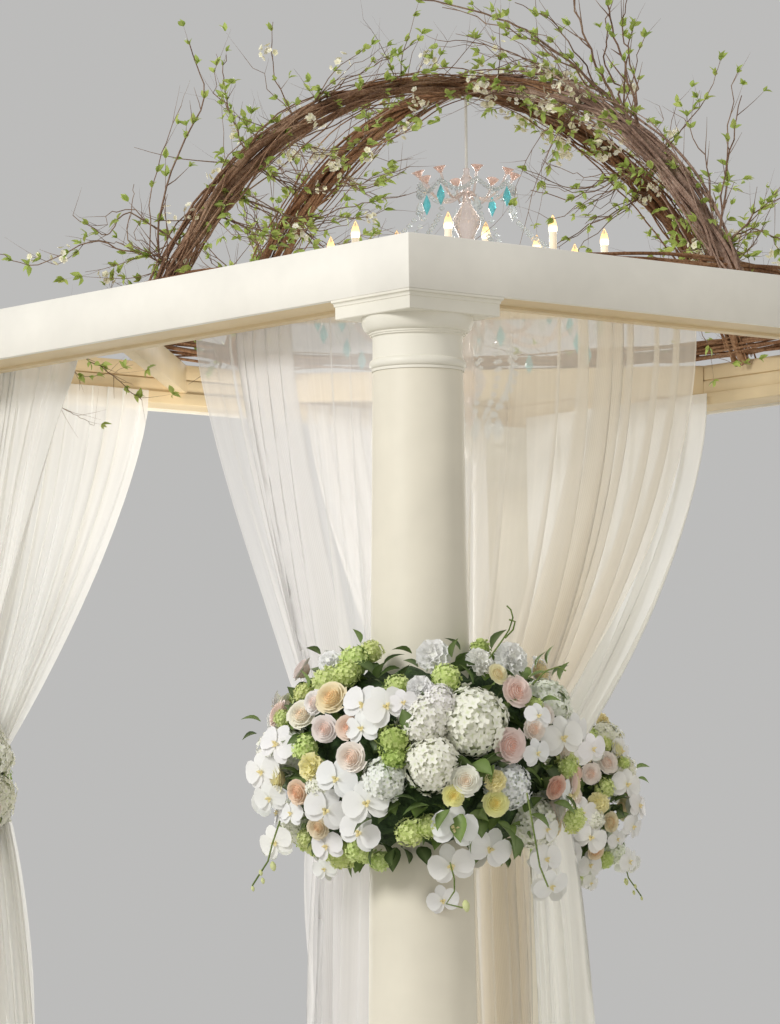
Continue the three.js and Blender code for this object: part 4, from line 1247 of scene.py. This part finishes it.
def bowl_strings(beads, drops):
    """A bowl of strings under the hub."""
    for k in range(BOWL_STRINGS):
        way = level(2 * math.pi * k / BOWL_STRINGS)
        for step in range(12):
            t = step / 11
            r = 0.05 + 0.09 * math.sin(math.pi * min(1, 0.15 + 0.75 * t))
            beads.append(way * r + upward(HUB - 0.06 - 0.26 * t))
        drops.append(way * 0.09 + upward(HUB - 0.36))


def crown_angle(k):
    return math.radians(OUTER_TURN + 20) + 2 * math.pi * k / CROWN_ARMS


def crown_strings(beads, drops, blue):
    """A drop under each arm of the crown, and a swag to the next arm."""
    for k in range(CROWN_ARMS):
        rim = level(crown_angle(k)) * CROWN_REACH
        (blue if k % 2 == 0 else drops).append(rim + upward(CROWN - CROWN_DROPS[k % 2]))
        beads.append(rim + upward(CROWN - 0.012))
        for step in range(1, 9):
            t = step / 9
            sag = 0.03 * math.sin(math.pi * t)
            beads.append(level(crown_angle(k + t)) * CROWN_REACH + upward(CROWN - 0.01 - sag))


def make_crystals(lights):
    """Beads strung between the arms and under the hub, with a drop at the end of each string."""
    beads, drops, blue = [], [], []
    pan_strings(lights, beads, drops, blue)
    arm_swags(beads, blue)
    bowl_strings(beads, drops)
    crown_strings(beads, drops, blue)
    drop = crystal_bead(0.024, 2.6)
    for name, pattern, spots, finish in (("crystal_beads", crystal_bead(0.018), beads, CLEAR_CRYSTAL),
                                         ("crystal_drops", drop, drops, CLEAR_CRYSTAL),
                                         ("turquoise_drops", drop, blue, BLUE_CRYSTAL)):
        add_copies(name, pattern, untinted(spots), [finish], sharp=20)


def make_crown():
    """Curled glass arms that rise from a blush bowl to a small flower cup each."""
    arms, cups = [], []
    curve = [(0.014, -0.03), (0.045, -0.052), (0.085, -0.050), (0.118, -0.022), (CROWN_REACH, 0.012)]
    for k in range(CROWN_ARMS):
        out = level(crown_angle(k))
        curl = [out * reach + upward(CROWN + rise) for reach, rise in curve]
        arms.append([(point, 0.0038) for point in smooth_route(curl, 4)])
        cups.append((place(out * CROWN_REACH + upward(CROWN + 0.008), out * 0.3 + upward(1), 1), WHITE))
    cup = turned([(0, 0), (0.006, 0.002), (0.011, 0.010), (0.019, 0.019), (0.0175, 0.020),
                  (0.009, 0.012), (0, 0.006)], 10)
    add_tubes("crown_glass", arms, 2, PINK_GLASS, ["chandelier_crown"])
    add_copies("crown_cups", mesh_from(cup, "cup"), cups, [PINK_CUP], sharp=CREASE)


def chandelier_stem():
    """The turned glass stem: a lower vase, the hub, an upper vase and the crown's bowl."""
    low = CHANDELIER[0].z
    profile = [(0, low)]
    profile += [(radius, low + up) for radius, up in (
        (0.012, 0.010), (0.021, 0.030), (0.012, 0.052), (0.010, 0.062), (0.030, 0.085),
        (0.048, 0.115), (0.052, 0.138), (0.040, 0.160), (0.018, 0.178))]
    profile += [(radius, HUB + up) for radius, up in (
        (0.014, -0.085), (0.030, -0.05), (0.047, -0.022), (0.048, 0.020), (0.030, 0.045),
        (0.014, 0.065), (0.016, 0.17), (0.026, 0.205), (0.039, 0.230), (0.042, 0.250),
        (0.026, 0.272), (0.012, 0.295))]
    profile += [(0.012, CROWN - 0.02), (0.018, CROWN + 0.01), (0.009, CROWN_TOP - 0.02)]
    profile += [(0.009, CROWN_TOP - 0.001), (0, CROWN_TOP - 0.001)]
    return mesh_from(turned(profile, 24), "stem")


def make_chandelier():
    """The stem, the candle arms with their pans, sleeves and bulbs, crystals, crown and cord."""
    arms, lights = [], []
    for count, turn, reach in ((OUTER_ARMS, OUTER_TURN, ARM_REACH), (INNER_ARMS, INNER_TURN, INNER_REACH)):
        for k in range(count):
            angle = math.radians(turn + 360 * k / count)
            arms.append(arm_path(angle, reach))
            lights.append(level(angle) * reach)
    pan = mesh_from(turned([(0, 0), (0.018, 0), (0.034, 0.006), (0.042, 0.014), (0.0405, 0.0155),
                            (0.030, 0.009), (0.014, 0.006), (0, 0.006)], 20), "pan")
    sleeve = mesh_from(turned([(0, 0), (0.0105, 0), (0.0110, 0.004), (0.0105, 0.075), (0.0115, 0.080),
                               (0, 0.082)], 14), "sleeve")
    glass = [chandelier_stem(), tubes("arms", arms, 3), scattered("pans", pan, untinted(lights, PAN))]
    add_piece("chandelier_glass", joined("chandelier_glass", glass), [PINK_GLASS],
              ["chandelier_frame"])
    sleeves = untinted(lights, PAN + 0.012)
    add_copies("candle_sleeves", sleeve, sleeves, [WAX_WITH_PAINTED_GLOW], sharp=CREASE)
    add_copies("flame_bulbs", flame_bulb(), untinted(lights, BULB_FOOT), [FLAME])
    make_crystals(lights)
    make_crown()
    cord = [(upward(CROWN_TOP + (DOME_APEX - CROWN_TOP) * i / 6), CORD_RADIUS) for i in range(7)]
    add_tubes("chandelier_hanging_cord", [cord], 2, WHITE_CORD, ["chandelier_cord"])


# Flower collars

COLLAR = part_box("front_right_flower_collar")
COLLAR_MIDDLE = (COLLAR[0].z + COLLAR[1].z) / 2
COLLAR_HALF = (COLLAR[1].z - COLLAR[0].z) / 2
COLLAR_RADIUS = (COLLAR[1].x - COLLAR[0].x) / 2
# How much of its reach the collar has behind the column
INNER_SHARE = 0.64
# How deep its core lies, and the share of the radius that its top and foot fall away over
CORE_DEPTH = 0.085
CORE_FLAT = 0.6
FLANK_BLOOMS = 34
PACKED_LEAVES = 520
LOBES = 4

DARK_LEAF = (0.035, 0.075, 0.02)
MID_LEAF = (0.24, 0.36, 0.08)
# Rings of the rose's petals, outer first: how many, their radius, foot, height and curl. A
# curl below nothing opens outwards, and one above it closes over the heart
ROSE_RINGS = [
    (5, 0.78, 0.00, 0.32, -0.8), (5, 0.76, 0.08, 0.46, -0.35), (5, 0.68, 0.16, 0.55, 0.0),
    (5, 0.56, 0.26, 0.62, 0.2), (5, 0.42, 0.36, 0.66, 0.3), (4, 0.28, 0.44, 0.68, 0.35),
    (3, 0.14, 0.50, 0.68, 0.25),
]
# Rings of the ruffled bloom's petals: how many, how steeply they stand, and their length
RUFFLE_RINGS = [(8, 0.15, 1.0), (8, 0.50, 0.96), (7, 0.85, 0.86), (5, 1.2, 0.78)]


def orchid():
    """A moth orchid 2 across: two broad petals, three sepals and a small folded lip."""
    bm, shade = shaded_mesh()

    def lobe(angle, length, half, cup, lift, foot):
        turn = Matrix.Rotation(math.radians(angle), 3, "Z")

        def spot(s, t):
            up = 0.5 - 0.5 * math.cos(math.pi * t)
            wide = half * math.sqrt(math.sin(math.pi * up ** foot))
            rise = lift + cup * (s * s - 0.3) * wide - 0.16 * up * up
            return turn @ Vector((s * wide, 0.03 + length * up, rise))

        shaped_petal(bm, 2, 6, spot, shade, 0.3, 1)

    for angle in (0, 128, -128):
        lobe(angle, 0.94, 0.37, 0.12, 0.0, 1.1)
    for angle in (80, -80):
        lobe(angle, 0.98, 0.58, 0.14, 0.05, 1.25)
    for angle in (70, -70, 180):
        turn = Matrix.Rotation(math.radians(angle), 3, "Z")

        def lip(s, t, turn=turn):
            wide = 0.09 * math.sin(math.pi * (0.2 + 0.7 * t))
            return turn @ Vector((s * wide, 0.02 + 0.16 * t, 0.14 + 0.12 * t - 0.1 * s * s))

        shaped_petal(bm, 2, 2, lip, shade, 0.0, 0.15, 1)
    return mesh_from(bm, "orchid")


def heart(bm, shade, wide, tall, tone):
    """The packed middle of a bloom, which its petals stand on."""
    made = bmesh.ops.create_uvsphere(bm, u_segments=10, v_segments=5, radius=1)
    for vert in made["verts"]:
        vert[shade] = tone * vert.co.xy.length
        vert.co = Vector((vert.co.x * wide, vert.co.y * wide, 0.1 + vert.co.z * tall))


def garden_rose():
    """A rose 2 across, from the rings of petals in ROSE_RINGS."""
    bm, shade = shaded_mesh()
    heart(bm, shade, 0.64, 0.50, 0.35)
    for number, (count, radius, foot, height, curl) in enumerate(ROSE_RINGS):
        span = math.pi / count * 1.45
        for k in range(count):
            middle = 2 * math.pi * (k + 0.5 * (number % 2) + 0.17 * number) / count

            def spot(s, t, middle=middle, radius=radius, foot=foot, height=height, curl=curl, k=k):
                cup = math.sin(math.pi * (0.10 + 0.40 * t)) - curl * t * t * 0.4
                out = radius * cup * (1 + 0.06 * s + 0.04 * math.sin(5 * k + 2 * s))
                rise = foot + (height - foot) * t * (1 - 0.20 * s * s) - 0.10 * max(0.0, -curl) * t * t
                return level(middle + s * span) * out + upward(rise)

            inner = 0.04 + 0.95 * radius
            shaped_petal(bm, 4 if number < 3 else 3, 2, spot, shade, inner, min(1.0, inner + 0.3))
    return mesh_from(bm, "rose")


def ruffled_bloom():
    """A frilled bloom 2 across, full of short waved petals."""
    bm, shade = shaded_mesh()
    heart(bm, shade, 0.60, 0.42, 1.0)
    rng = random.Random(8)
    for ring, (count, tilt, length) in enumerate(RUFFLE_RINGS):
        for k in range(count):
            angle = 2 * math.pi * (k + 0.5 * ring) / count + rng.uniform(-0.2, 0.2)
            turn = Matrix.Rotation(angle, 3, "Z")
            lift = tilt + rng.uniform(-0.12, 0.12)

            def spot(s, t, turn=turn, lift=lift, length=length, wave=rng.uniform(0, 6)):
                ruffle = 0.11 * t * math.sin(s * 4.5 + wave)
                out = length * t * math.cos(lift) + ruffle * math.sin(lift)
                rise = length * t * math.sin(lift) - ruffle * math.cos(lift)
                return turn @ Vector((s * 0.40 * (0.25 + 0.8 * t), out, rise))

            shaped_petal(bm, 5, 2, spot, shade, 0.3, 1)
    return mesh_from(bm, "ruffled_bloom")


def floret_ball(name, count, floret, cup, cover, rng_seed, sides, stray):
    """A ball of small four-lobed flowers 2 across. cover is the share of the ball that they
    cover, sides how many edges each lobe has, and stray how far they turn from the ball."""
    rng = random.Random(rng_seed)
    bm, shade = shaded_mesh()
    core = bmesh.ops.create_icosphere(bm, subdivisions=2, radius=0.86)
    for vert in core["verts"]:
        vert[shade] = 0.25
    turn = Matrix.Rotation(math.pi / (LOBES * sides) if sides == 3 else 0.0, 4, "Z")
    for i in range(count):
        rise = 1 - (2 * cover) * (i + 0.5) / count
        flat = math.sqrt(max(0.0, 1 - rise * rise))
        normal = level(i * math.pi * (3 - math.sqrt(5))) * flat + upward(rise)
        tilt = normal + jitter(rng, stray, stray)
        out = 0.90 + rng.uniform(-0.07, 0.10) + 0.13 * noise.noise(normal * 2.4 + Vector((rng_seed, 0, 0)))
        matrix = place(normal * out, tilt, floret * rng.uniform(0.85, 1.15), rng.uniform(0, 6))
        made = bmesh.ops.create_circle(bm, cap_ends=True, cap_tris=True, segments=LOBES * sides,
                                       radius=1, matrix=turn)
        middle = rng.uniform(0.0, 0.35)
        for vert in made["verts"]:
            far = vert.co.length
            angle = math.atan2(vert.co.y, vert.co.x)
            pull = min(1.0, 0.55 + 0.52 * abs(math.cos(angle * LOBES / 2)))
            vert[shade] = middle + (1 - middle) * far
            vert.co = matrix @ Vector((vert.co.x * pull, vert.co.y * pull, cup * far * pull))
    return mesh_from(bm, name)


def broad_leaf():
    """A collar's leaf, broad and arched."""
    def form(s, t):
        half = 0.36 * math.sin(math.pi * min(1, t * 0.97 + 0.03) ** 0.85) + 0.004
        return half, 0.30 * abs(s) * half + 0.30 * t - 0.45 * t * t

    return folded_leaf("broad_leaf", 5, form, 0.45)


def bud():
    """An orchid bud 1 long, with its foot at the origin."""
    bm = turned([(0, 0), (0.16, 0.1), (0.30, 0.35), (0.30, 0.6), (0.16, 0.9), (0, 1.0)], 8)
    shade = bm.verts.layers.float.new("shade")
    for vert in bm.verts:
        vert[shade] = vert.co.z
    return mesh_from(bm, "bud")


# Blooms of the collar as seen from outside the corner, in centimetres:
# kind, across to the right, up from the collar's middle, and radius
ARRANGEMENT = [
    ("hydrangea", 15, 8.5, 8.8), ("hydrangea_cream", 1, 8.5, 6.6), ("hydrangea_cream", 3, -3, 7.2),
    ("hydrangea", -10, -7, 5.8), ("hydrangea_silver", 24, -8.5, 6.0), ("hydrangea_cream", -26, -8, 3.6),
    ("hydrangea", 4.5, 13, 4.8), ("rose_peach", -22, 14, 4.2), ("rose_blush", -29.5, 10, 3.8),
    ("rose_ivory", -26, 13, 3.2), ("rose_blush", -24, 6.5, 3.5), ("rose_coral", -18, 6.5, 3.2),
    ("rose_blush", -17, -1, 4.0), ("rose_pink", 24, 15.5, 4.0), ("rose_pink", 22.5, 2, 4.5),
    ("rose_blush", 28, 6, 3.0), ("rose_ivory", 11, -7, 3.8), ("rose_yellow", 8, -10.5, 2.8),
    ("rose_yellow", 18.5, -12.5, 3.4), ("rose_peach", 19, 19.5, 2.8), ("rose_tan", -31, -9, 3.3),
    ("rose_tan", -26, -18, 3.0), ("rose_mauve", 34, -8, 3.2), ("rose_ivory", 31, 10, 2.8),
    ("ruffled", 3.5, 25, 4.3), ("ruffled", 15, 23, 3.8), ("ruffled", 23.5, 25, 4.5),
    ("ruffled", -23, 24, 3.0), ("ruffled", 0, 16, 3.4), ("ruffled_yellow", -27, -3, 3.7),
    ("ruffled_yellow", 18.5, -7, 2.8), ("viburnum", -18, 25, 4.0), ("viburnum", -13, 27, 3.2),
    ("viburnum", -25, 19, 4.4), ("viburnum", -19, 21, 3.4), ("viburnum", -30, 16, 2.8),
    ("viburnum", -6, 17, 3.4), ("viburnum", 7, 19.5, 3.8), ("viburnum", -30, 2, 3.6),
    ("viburnum_dark", -7, 3, 4.2), ("viburnum_dark", -7, -1, 3.4), ("viburnum", -3, -20, 3.6),
    ("viburnum", 2, -18.5, 3.0), ("viburnum", -21.5, -25, 4.2), ("viburnum", -16.5, -24, 3.6),
    ("viburnum", -30, -21, 3.0), ("viburnum", -11, -27, 2.8), ("viburnum", -36, 10, 2.4),
    ("viburnum", 38, -3, 2.6), ("viburnum", 40, -16.5, 3.0), ("viburnum_dark", 16, 28, 2.8),
    ("viburnum", 29, 12, 2.4), ("orchid", -38.5, -3.5, 5.2), ("orchid", -37, -10, 4.8),
    ("orchid", -36, -21, 4.8), ("orchid", -34.5, 3, 5.6), ("orchid", -20, -6, 5.5),
    ("orchid", -23, -13.5, 5.9), ("orchid", -13, -12, 6.0), ("orchid", -23, -22, 4.8),
    ("orchid", -15, -19, 5.6), ("orchid", -13.5, 11.5, 5.5), ("orchid", -8, 11, 5.8),
    ("orchid", -14, 6, 4.6), ("orchid", -4, 12, 3.8), ("orchid", 8, -18, 6.0), ("orchid", 7, -26.5, 6.0),
    ("orchid", 16.5, -23, 5.6), ("orchid", 5, -35, 4.2), ("orchid", 34, 4, 5.8), ("orchid", 28, 9, 3.8),
    ("orchid", 38, 6, 4.8), ("orchid", 28, 0, 4.0), ("orchid", 42, 1.5, 4.2), ("orchid", 30, -18, 4.2),
    ("orchid", 30, -25, 4.4), ("orchid", 32, -32, 4.8), ("orchid", -32, -14, 3.8),
    ("orchid", -23.5, -27, 3.4),
]
# Leaves at the arrangement's edge: across, up, length, and the way that they point in degrees
EDGE_LEAVES = [
    (-40, 9, 5, 165), (-41, 6, 4, 200), (-25, 26, 4, 150), (-15, 29, 4, 110), (-2, 25, 5, 165),
    (-5, 21, 6, 200), (-9, 22, 6, 30), (8, 24, 5, 80), (10, 26, 5, 140), (18, 27, 6, 60),
    (20, 21, 6, -40), (27, 19, 6, 20), (29, 22, 5, 70), (32, 23, 5, 85), (33, 20, 5, 40), (35, 19, 5, 75),
    (33, 16, 5, -30), (30, 13, 5, 10), (-12, -16, 6, 210), (2, -13, 7, 190), (7, -14, 6, 230),
    (10, -15, 7, 260), (-1, -12, 6, 160), (20, -18, 7, 300), (23, -20, 6, 270), (27, -15, 6, 330),
    (33, -12, 6, -20), (36, -10, 6, -60), (14, -19, 6, 240), (-11, -22, 6, 250), (20, 0, 5, 200),
    (18, -3, 5, 250), (-3, 5, 6, 100), (-9, -3, 5, 300), (-28, 17, 5, 100), (13, 17, 6, 120),
]
# Stems that hang or stand out of the arrangement: across, up and out from the column's axis
TRAILS = [
    [(-35, -16, 22), (-37, -22, 23), (-38, -26, 23), (-40, -29, 22), (-42, -32, 21)],
    [(7, -27, 44), (8, -31, 44), (8, -34, 43), (6, -37, 42), (10, -38, 42)],
    [(26, -10, 36), (27, -16, 37), (28, -22, 36), (29, -28, 35), (31, -33, 34)],
    [(17, 23, 36), (20, 27, 36), (22, 30, 36), (23, 33, 36), (22.5, 35, 36), (21.5, 36, 36)],
    [(21, 28, 36), (23, 30, 37), (23.5, 32, 37), (22, 32.5, 37)],
    [(28, 17, 33), (31, 20, 33), (34, 21, 33), (36, 20, 33)],
]
# Buds on those stems: across, up, out and length
BUDS = [
    (-37, -26, 23, 2.6), (-40, -28, 22, 1.7), (-39.5, -30, 22, 1.7), (-42, -32, 21, 1.5),
    (10.5, -36, 42, 3.2),
]
# The tint of each kind of bloom. The silver hydrangea is a white one, darkened as painted shade
TINTS = {
    "hydrangea": (0.97, 0.97, 0.90), "hydrangea_cream": (0.96, 0.98, 0.86),
    "hydrangea_silver": (0.90, 0.91, 0.88), "rose_peach": (0.99, 0.90, 0.66),
    "rose_blush": (0.99, 0.92, 0.85), "rose_ivory": (0.99, 0.96, 0.88), "rose_coral": (0.99, 0.81, 0.70),
    "rose_pink": (0.99, 0.84, 0.78), "rose_yellow": (0.99, 0.93, 0.52), "rose_tan": (0.93, 0.81, 0.63),
    "rose_mauve": (0.84, 0.66, 0.57), "ruffled": (0.99, 0.99, 0.95), "ruffled_yellow": (0.96, 0.89, 0.54),
    "viburnum": (0.74, 0.82, 0.36), "viburnum_dark": (0.54, 0.66, 0.22), "orchid": (0.98, 0.98, 0.97),
}
# What fills the two flanks between the outer and the inner arrangement
FLANK_KINDS = [
    "orchid", "orchid", "orchid", "orchid", "hydrangea", "hydrangea_cream", "viburnum", "viburnum",
    "ruffled", "ruffled_yellow", "rose_ivory", "rose_blush", "rose_blush", "rose_peach", "rose_pink",
]
# How deep each family sits, and how much it turns towards the viewer
FAMILIES = {
    "hydrangea": (0.72, 0.25), "rose": (0.35, 0.35), "ruffled": (0.35, 0.35), "viburnum": (0.75, 0.2),
    "orchid": (-0.1, 0.45),
}
# Radii of the flanks' blooms
SIZES = {
    "hydrangea": 0.066, "rose": 0.037, "ruffled": 0.038, "viburnum": 0.034, "orchid": 0.050,
}


def collar_surface(azimuth, up, reach=0.0):
    """A point on the collar's outside and its outward direction, from its own middle. It is
    at least reach from the axis."""
    share = max(-0.98, min(0.98, up / (COLLAR_HALF * 1.02)))
    radius = max(COLLAR_RADIUS * (1 - share * share) ** 0.30, reach)
    slope = 0.6 * share * COLLAR_RADIUS / COLLAR_HALF * (1 - share * share) ** -0.35
    out = level(azimuth)
    return out * radius + upward(up), (out + upward(slope * 0.6)).normalized()


def drawn_in(spot, outward):
    """The collar is flatter on its inner side, behind the column."""
    inward = min(0.0, spot.dot(outward))
    return spot - outward * inward * (1 - INNER_SHARE)


def collar_azimuth(across, up):
    """How far round from the middle a thing is that is seen across and up, and its reach."""
    reach = abs(across) * 1.03 + 0.01
    radius = max(collar_surface(0, up)[0].xy.length, reach)
    return math.asin(max(-0.99, min(0.99, across / radius))), reach


def make_collar(corner, number):
    """One corner's collar: its flowers outside and again inside, those of its two flanks, its
    leaves, its stems and the mound that they stand in."""
    rng = random.Random(40 + number)
    middle = corner_place(corner) + upward(COLLAR_MIDDLE)
    face = (SIDES[corner[0]] + SIDES[corner[1]]).normalized()
    look = math.atan2(face.y, face.x) + math.radians(5)
    found = {family: [] for family in FAMILIES}

    def set_bloom(kind, azimuth, up, size, reach, ahead):
        family = kind.split("_")[0]
        spot, normal = collar_surface(azimuth, up, reach)
        tint = tuple(min(0.96, c * rng.uniform(0.96, 1.04)) for c in TINTS[kind])
        sink, turn = FAMILIES[family]
        lean = normal * (1 - turn) + (level(ahead) + upward(0.05)) * turn
        lean += jitter(rng, 0.16, 0.14)
        spin = rng.uniform(-0.5, 0.5) if family == "orchid" else rng.uniform(0, 6)
        where = drawn_in(spot - normal * (size * sink) + normal * rng.uniform(0.0, 0.012), face)
        found[family].append((place(middle + where, lean, size, spin), tint))

    for half, ahead in ((1, look), (-1, look + math.pi)):
        for kind, across, up, size in ARRANGEMENT:
            around, reach = collar_azimuth(half * across / 100, up / 100)
            set_bloom(kind, ahead + around, up / 100, size / 100, reach, ahead)
    for i in range(FLANK_BLOOMS):
        azimuth = look + (1 if i % 2 else -1) * math.radians(90 + rng.uniform(-22, 22))
        up = COLLAR_HALF * rng.uniform(-0.8, 0.8)
        kind = rng.choice(FLANK_KINDS)
        size = SIZES[kind.split("_")[0]] * rng.uniform(0.85, 1.1)
        set_bloom(kind, azimuth, up, size, 0.0, azimuth)
    name = corner_name(corner) + "_collar_"
    for family in FAMILIES:
        add_copies(name + family, TEMPLATES[family], found[family], FINISHES[family])
    leaves = collar_leaves(rng, middle, look, face)
    add_copies(name + "leaves", TEMPLATES["leaf"], leaves, [LEAF])
    make_trails(name, middle, look)
    core = collar_core(name, middle, face, number)
    node = corner_name(corner) + "_flower_collar"
    add_piece(name + "moss", core, [MOSS], [node], sharp=NO_CREASE)


def collar_leaves(rng, middle, look, face):
    """Packed leaves all round, and the single ones that stand out at the arrangement's edge."""
    leaves = []

    def set_leaf(spot, away, size, roll):
        deep = rng.random() ** 1.4
        tint = tuple(a + (b - a) * deep for a, b in zip(DARK_LEAF, MID_LEAF))
        leaves.append((pointing(middle + drawn_in(spot, face), away, size, roll), tint))

    for i in range(PACKED_LEAVES):
        azimuth = look + 2 * math.pi * ((i * 0.618) % 1.0)
        up = COLLAR_HALF * 0.98 * (2 * rng.random() - 1)
        spot, normal = collar_surface(azimuth, up)
        away = normal * rng.uniform(0.1, 0.9) + level(azimuth + math.pi / 2) * rng.uniform(-1, 1)
        away += upward(rng.uniform(-0.7, 0.8))
        spot = spot - normal * rng.uniform(0.03, 0.075)
        set_leaf(spot, away, rng.uniform(0.040, 0.070), rng.uniform(-0.7, 0.7))
    right = level(look + math.pi / 2)
    for across, up, size, lean in EDGE_LEAVES:
        around, reach = collar_azimuth(across / 100, up / 100)
        spot, normal = collar_surface(look + around, up / 100, reach)
        lean = math.radians(lean)
        away = right * math.cos(lean) + upward(math.sin(lean)) + normal * 0.15
        set_leaf(spot, away, size / 100, rng.uniform(-0.5, 0.5))
    return leaves


def trail_point(middle, look, across, up, out):
    """Where a point of a stem is, from centimetres across, up and out."""
    return middle + (level(look + math.pi / 2) * across + level(look) * out + upward(up)) / 100


def make_trails(name, middle, look):
    """Orchid stems that hang out of the arrangement, their buds, and a tendril on top."""
    stems = [[(trail_point(middle, look, *point), 0.0022) for point in stem] for stem in TRAILS]
    add_tubes(name + "stems", stems, 1, STEM, sharp=NO_CREASE)
    buds = []
    for across, up, out, size in BUDS:
        spot = trail_point(middle, look, across, up, out)
        buds.append((place(spot, (0.2, 0.1, -1), size / 100), (0.74, 0.78, 0.42)))
    add_copies(name + "buds", TEMPLATES["bud"], buds, [PETAL])


def collar_core(name, middle, face, number):
    """The dark mound of packed leaves that the stems stand in."""
    bm = bmesh.new()
    made = bmesh.ops.create_icosphere(bm, subdivisions=5, radius=1)
    for vert in made["verts"]:
        up = vert.co.z * COLLAR_HALF * 0.80
        radius = collar_surface(0, up)[0].xy.length - CORE_DEPTH
        flat = vert.co.xy.normalized() if vert.co.xy.length > 1e-6 else Vector((0, 0))
        if vert.co.xy.length < CORE_FLAT:
            radius *= vert.co.xy.length / CORE_FLAT
        bump = 0.030 * noise.noise(vert.co * 5 + Vector((number * 5, 0, 0)))
        bump += 0.014 * noise.noise(vert.co * 17)
        out = radius + bump
        vert.co = middle + drawn_in(Vector((flat.x * out, flat.y * out, up + bump)), face)
    return mesh_from(bm, name + "core")


FINISHES = {
    "hydrangea": [FLORET], "viburnum": [FLORET], "rose": [ROSE_PETAL], "ruffled": [PETAL],
    "orchid": [PETAL, ORCHID_LIP],
}
TEMPLATES = {
    "hydrangea": floret_ball("hydrangea", count=140, floret=0.192, cup=0.22, cover=0.68, rng_seed=3,
                             sides=3, stray=0.12),
    "viburnum": floret_ball("viburnum", count=84, floret=0.205, cup=0.30, cover=0.72, rng_seed=4,
                            sides=2, stray=0.36),
    "rose": garden_rose(),
    "ruffled": ruffled_bloom(),
    "orchid": orchid(),
    "leaf": broad_leaf(),
    "bud": bud(),
}


# Stage, light and camera

BACKDROP = rgb(0.505, 0.502, 0.495)
# Name, where it stands, what it points at, width, power in watts, colour, and any narrower
# spread in degrees
LAMPS = [
    ("key", (1.75, -11.4, 7.4), (0, 0, 2.2), 3.0, 765, (1.0, 0.987, 0.965)),
    ("fill", (12.0, 1.0, 3.0), (0, 0, 2.4), 6.0, 100, (1.0, 0.90, 0.74)),
    ("side", (-9.0, 2.2, 3.4), (-1.1, -0.2, 2.4), 4.0, 440, (1.0, 0.99, 0.96)),
    ("bounce", (-0.35, -0.1, 2.1), (-1.45, -0.1, 3.05), 0.5, 3.2, (1.0, 0.94, 0.86), 90),
    ("back", (-4.5, 9.0, 3.2), (-0.6, 0.8, 2.4), 4.0, 260, (1.0, 0.99, 0.96)),
]
CAMERA_PLACE = (10.291, -8.774, 1.417)
CAMERA_HEADING = math.radians(50.52)
CAMERA_PITCH = math.radians(5.208)
CAMERA_ROLL = math.radians(0.428)
CAMERA_LENS = 165.5


def make_stage():
    """The floor and the plain light all round."""
    bm = bmesh.new()
    bmesh.ops.create_grid(bm, x_segments=1, y_segments=1, size=30)
    floor = bpy.data.objects.new("floor", mesh_from(bm, "floor"))
    floor.data.materials.append(pale_floor("pale_floor"))
    bpy.context.scene.collection.objects.link(floor)
    world = bpy.data.worlds.new("studio")
    world.use_nodes = True
    world.node_tree.nodes["Background"].inputs["Color"].default_value = BACKDROP
    world.node_tree.nodes["Background"].inputs["Strength"].default_value = 1.0
    bpy.context.scene.world = world
    bpy.context.scene.view_settings.view_transform = "Standard"


def add_lamp(name, spot, target, size, power, colour, spread=180):
    light = bpy.data.lights.new(name, "AREA")
    light.shape = "DISK"
    light.size = size
    light.energy = power
    light.color = colour
    light.spread = math.radians(spread)
    holder = bpy.data.objects.new(name, light)
    holder.location = spot
    holder.rotation_euler = (Vector(target) - Vector(spot)).to_track_quat("-Z", "Y").to_euler()
    holder.visible_camera = False
    bpy.context.scene.collection.objects.link(holder)


def make_camera():
    camera = bpy.data.cameras.new("camera")
    camera.sensor_width = 36
    camera.lens = CAMERA_LENS
    camera.clip_end = 100
    holder = bpy.data.objects.new("camera", camera)
    holder.location = CAMERA_PLACE
    turn = Matrix.Rotation(CAMERA_HEADING, 4, "Z") @ Matrix.Rotation(math.pi / 2 + CAMERA_PITCH, 4, "X")
    holder.rotation_euler = (turn @ Matrix.Rotation(-CAMERA_ROLL, 4, "Z")).to_euler()
    bpy.context.scene.collection.objects.link(holder)
    bpy.context.scene.camera = holder


make_columns()
make_boards()
make_curtains()
make_vines()
make_chandelier()
for number, corner in enumerate(CORNERS):
    make_collar(corner, number)
make_stage()
for lamp in LAMPS:
    add_lamp(*lamp)
make_camera()
